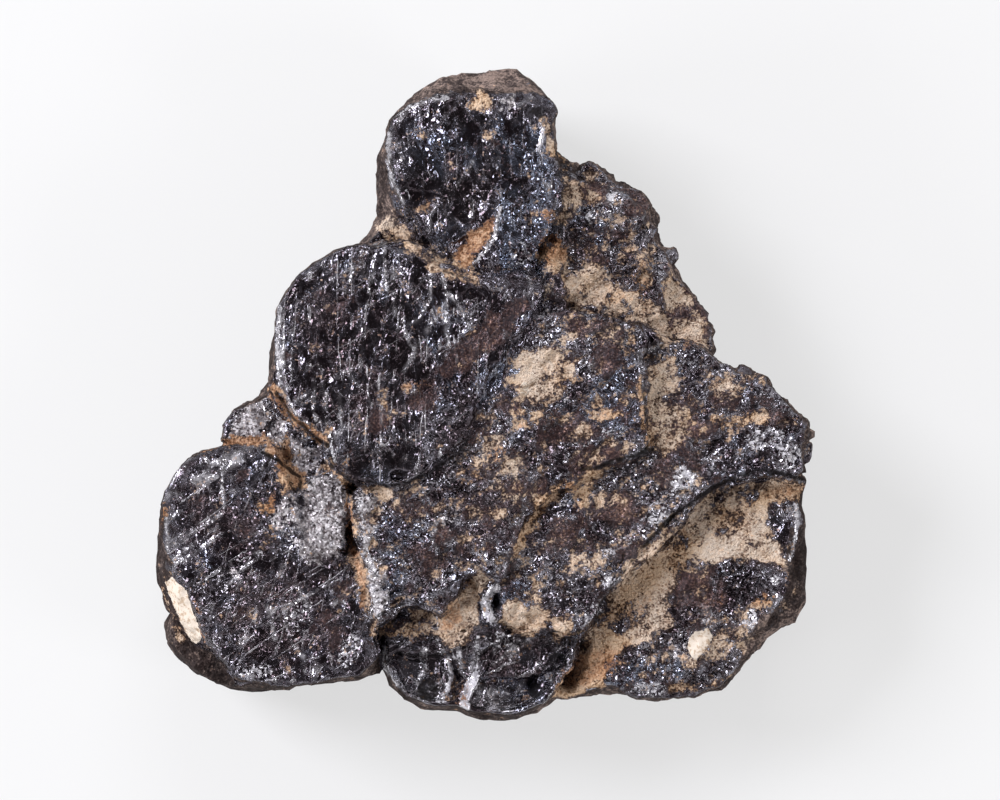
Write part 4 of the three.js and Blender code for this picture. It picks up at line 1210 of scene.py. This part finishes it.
def ore_finish():
    """Black ore with everything that lies on it."""
    f = Finish(bpy.data.materials.new("ilmenite_ore"))
    here = f.node("ShaderNodeTexCoord", output="Object")
    clay, orange, rust, grey = (f.cover(c) for c in ("clay", "orange", "rust", "grey"))
    wall, pale, silver, etch = (f.cover(c) for c in ("wall", "pale", "silver", "etch"))
    tone, warm, sparkle, film = (f.cover(c) for c in ("tone", "warm", "sparkle", "film"))

    fine = f.noise(here, per_mm=2.4, detail=4, rough=0.72, spread=17)
    grit = f.noise(here, per_mm=5.5, detail=1, rough=0.6, spread=12)

    # the etched metal: scalloped bowls with sharp crests, drawn out along each grain's own way
    loose = f.vector("ADD", here, f.cover("shaken", "Vector"))
    along = f.node("ShaderNodeCombineXYZ", {}, {"X": 1.0, "Y": f.cover("drawn"), "Z": 0.8})
    drawn = f.vector("MULTIPLY", f.turn(loose, f.cover("swirl")), along)
    crests = f.node("ShaderNodeTexNoise", {"noise_type": "RIDGED_MULTIFRACTAL"},
                    {"Vector": drawn, "Scale": 1500.0, "Detail": 2.0, "Roughness": 0.6,
                     "Lacunarity": 2.3})

    # thin scratches, nearly straight, in the bump and also painted bright as painted highlights
    scratches = 0.0
    for turn, thin, much, name in SCRATCHES:
        line = f.node("ShaderNodeTexNoise", {}, {
            "Vector": f.vector("MULTIPLY", f.turn(here, turn), (1.0, thin, 1.0)),
            "Scale": 1 / MM, "Detail": 0.0})
        scored = (line - MIDDLE).power(2.0).above(WIDE_LINE, THIN_LINE) * f.cover(name) * much
        scratches = scored.most(scratches)

    # flat facets, large and small, each tilted its own way
    large, large_tint, bowls = f.facets(drawn, 1.6)
    small, small_tint, _ = f.facets(drawn, 4.0)
    tiny, glint, _ = f.facets(loose, 5.4, 1.6)

    clay_deep = clay + fine * 0.11 + grit * 0.05 - crests * 0.06
    clay_on = clay_deep.above(0.30, 0.68)
    rust_deep = rust - fine * 0.08 + grit * 0.04
    rust_on = rust_deep.above(0.38, 0.60)
    orange_on = (orange + fine * 0.14 + grit * 0.05).above(0.40, 0.78)
    grey_on = (grey + fine * 0.12 + grit * 0.05).above(0.42, 0.60)
    wall_on = (wall + fine * 0.08).above(0.40, 0.6)
    pale_on = (pale + grit * 0.06).above(0.42, 0.52)
    painted_shade_on = (f.cover("deep") + fine * 0.07 + grit * 0.04).above(0.35, 0.70)

    covered = clay_on.most(rust_on * 0.35).most(pale_on).most(wall_on * 0.85)
    bare = (1 - covered).held()
    filmed = (film + fine * 0.10).above(0.28, 0.66)

    # The bump reads its height three times, so the height leaves out the finest noise.
    crusted = (clay + grit * 0.06 - crests * 0.06).above(0.30, 0.68)
    stained = (rust + grit * 0.06).above(0.38, 0.60) + wall.above(0.40, 0.6)
    clean = (1 - crusted.most(stained * 0.5).most(pale_on)).held()
    scooped = bowls * bowls
    foil = (scooped * scooped * 0.5 + crests * 0.12 + large * 0.55 + small * 0.95) \
        * (etch * (1 - film.above(0.28, 0.66) * 0.45))
    relief = ((foil + tiny * sparkle * 1.35 + scratches * 0.6) * clean + f.cover("edge") * 0.8
              + crusted * (0.15 + grit * 0.16) + stained * grit * 0.05)
    normal = f.node("ShaderNodeBump", {}, {"Strength": 1.0, "Distance": RELIEF,
                                           "Height": relief})

    varied = (large_tint - 0.5) * 0.42 + (small_tint - 0.5) * 0.6 + (glint - 0.5) * 0.6
    # The metal's colour: darker in the middle of each bowl and lighter towards its crests, as
    # painted shade and painted highlight, plus tone that varies at random.
    tone_and_hollow_shade = (0.34 + bowls * 0.3 + (tone - 0.5) * 0.8 + varied * etch.least(1.0)).above(0.1, 0.9)
    ore = f.blend(tone_and_hollow_shade, ORE_DARK, f.blend(f.cover("lustre"), ORE, ORE_SHARP))
    ore = f.blend((f.cover("blue") + fine * 0.10).above(0.2, 0.9) * tone_and_hollow_shade * 0.6, ore, ORE_BLUE)
    ore = f.blend(filmed * 0.7, ore, FILMED)
    # Painted highlights and glints: polished places, raised edges and scratches are painted
    # near-white and made less metallic, so they show bright under any light.
    bright = (silver + (glint - 0.5) * 0.7 + fine * 0.06).above(0.60, 1.0)
    painted_glints = bright.most(f.cover("edge")).most(scratches * 0.6)
    ore = f.blend(painted_glints * 0.9, ore, PAINTED_GLINT_COLOUR)
    flake = f.ramp(0.38 + tone * 0.4 + fine * 0.18 + (glint - 0.5) * 0.9, FLAKE_LAYERS)
    ore = f.blend(grey_on * 0.85, ore, flake)
    colour = f.blend(rust_on * 0.85, ore,
                     f.ramp((rust_deep - 0.38) * 0.8 + grit * 0.16 + fine * 0.06, RUST_LAYERS))
    colour = f.blend(wall_on * 0.95, colour,
                     f.ramp(tone * 0.8 + fine * 0.12 + grit * 0.12, WALL_LAYERS))
    crust = ((clay_deep - 0.34) * 1.05).least(0.80) + grit * 0.15 + fine * 0.10 \
        + (tone - 0.5) * 1.1 - (film - 0.2) * 0.15
    colour = f.blend(clay_on, colour, f.blend((warm + fine * 0.15 + 0.05).held(),
                                              f.ramp(crust, CLAY_LAYERS),
                                              f.ramp(crust, GOLD_LAYERS)))
    colour = f.blend(orange_on * 0.8, colour,
                     f.ramp(clay * 0.26 + tone * 0.5 + fine * 0.14 + grit * 0.12 - 0.02,
                            ORANGE_LAYERS))
    colour = f.blend(pale_on, colour, f.blend(fine.above(0.2, 1.8), GRAIN_PALE, GRAIN_STAINED))
    # painted shade: the crevices are darkened to near-black
    colour = f.blend(painted_shade_on * 0.92, colour, PAINTED_CREVICE_SHADE)

    metal = (bare * (1 - grey_on * 0.65) * (1 - orange_on * 0.8) * (1 - painted_glints * 0.65)).held()
    dullness = (0.11 + fine.above(0.8, 2.0) * 0.12 + rust_on * 0.20 + clay_on * 0.60
                + grey_on * 0.10 + wall_on * 0.45 + orange_on * 0.2 + pale_on * 0.3
                + film.above(0.3, 0.7) * 0.10).held()
    glossy = f.surface(Base_Color=colour, Metallic=metal, Roughness=dullness, Normal=normal,
                       Specular_IOR_Level=0.35)
    dusty = f.surface(Base_Color=colour, Roughness=0.95, Normal=normal, Specular_IOR_Level=0.03)
    return f.shade(f.node("ShaderNodeMixShader", {}, {
        0: (wall_on * 0.85).most(clay_on * 0.8).most(orange_on * 0.6).most(painted_shade_on * 0.9),
        1: glossy, 2: dusty}))


def table_finish():
    f = Finish(bpy.data.materials.new("pale_table"))
    return f.shade(f.surface(Base_Color=TABLE_COLOUR, Roughness=0.75, Specular_IOR_Level=0.2,
                             Emission_Color=(1, 1, 1, 1), Emission_Strength=TABLE_GLOW))


# ------------------------------------------------------------------ table, light, camera

TABLE_HALF = 1.5  # m
LAMP_DISTANCE = 0.9  # m from the cluster

# Brightness of the room by the sine of the height above the horizon.
SKY = ((0.0, 1.0), (0.30, 1.25), (0.48, 0.95), (0.64, 0.26), (0.85, 0.14), (1.0, 0.12))
BRIGHT_SKY = 0.3  # above this brightness the sky is nearly white, below it warm
WHITE_TINT, WARM_TINT = (1, 0.985, 0.97), (1, 0.93, 0.97)

# Azimuth from +X towards +Y and elevation in degrees, width and height in m, watts, colour.
LAMPS = {
    "window": (152, 40, 0.34, 0.34, 6.6, (0.95, 0.95, 1.0)),
    "side": (195, 24, 0.36, 0.20, 2.4, (0.96, 0.98, 1.0)),
    "back": (84, 36, 0.36, 0.16, 2.0, (0.96, 0.98, 1.0)),
    "fill": (-20, 34, 0.26, 0.18, 1.3, (1, 1, 1)),
}


def make_table():
    bm = bmesh.new()
    bmesh.ops.create_grid(bm, x_segments=1, y_segments=1, size=TABLE_HALF)
    mesh = bpy.data.meshes.new("table")
    bm.to_mesh(mesh)
    bm.free()
    mesh.materials.append(table_finish())
    table = add_object("table", mesh)


def softbox(name, azimuth, elevation, wide, high, watts, colour):
    """A rectangular light that faces the cluster."""
    light = bpy.data.lights.new(name, "AREA")
    light.shape = "RECTANGLE"
    light.size, light.size_y = wide, high
    light.energy = watts
    light.color = colour
    lamp = add_object(name, light)
    a, e = math.radians(azimuth), math.radians(elevation)
    lamp.location = [LAMP_DISTANCE * part for part in
                     (math.cos(e) * math.cos(a), math.cos(e) * math.sin(a), math.sin(e))]
    lamp.rotation_mode = "QUATERNION"
    lamp.rotation_quaternion = lamp.location.to_track_quat("Z", "Y")


def light_up():
    """Light from all round the horizon, little from straight above, and a bright window at
    the upper left."""
    f = Finish(bpy.data.worlds.new("studio"))
    height = f.node("ShaderNodeSeparateXYZ", {},
                    {0: f.node("ShaderNodeTexCoord", output="Generated")}, "Z")
    stops = [(place, [level * part for part in (WHITE_TINT if level > BRIGHT_SKY else WARM_TINT)])
             for place, level in SKY]
    background = f.node("ShaderNodeBackground", {},
                        {"Color": f.ramp(height, stops), "Strength": 1.0})
    bpy.context.scene.world = f.shade(background, "ShaderNodeOutputWorld")
    for name, lamp in LAMPS.items():
        softbox(name, *lamp)
    bpy.context.scene.view_settings.view_transform = "Standard"


def make_camera():
    data = bpy.data.cameras.new("camera")
    data.sensor_width = SENSOR
    data.lens = SENSOR * (EYE[2] - SHARP_HEIGHT) / (UNIT * FRAME_WIDTH)
    data.clip_start, data.clip_end = 0.01, 10
    camera = add_object("camera", data)
    camera.location = [float(c) * MM for c in EYE]
    bpy.context.scene.camera = camera


# ------------------------------------------------------------------ the scene

make_camera()
light_up()
make_table()
cluster = make_surface()
cluster.data.materials.clear()
cluster.data.materials.append(ore_finish())
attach(cluster, "root")
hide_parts(NODE)
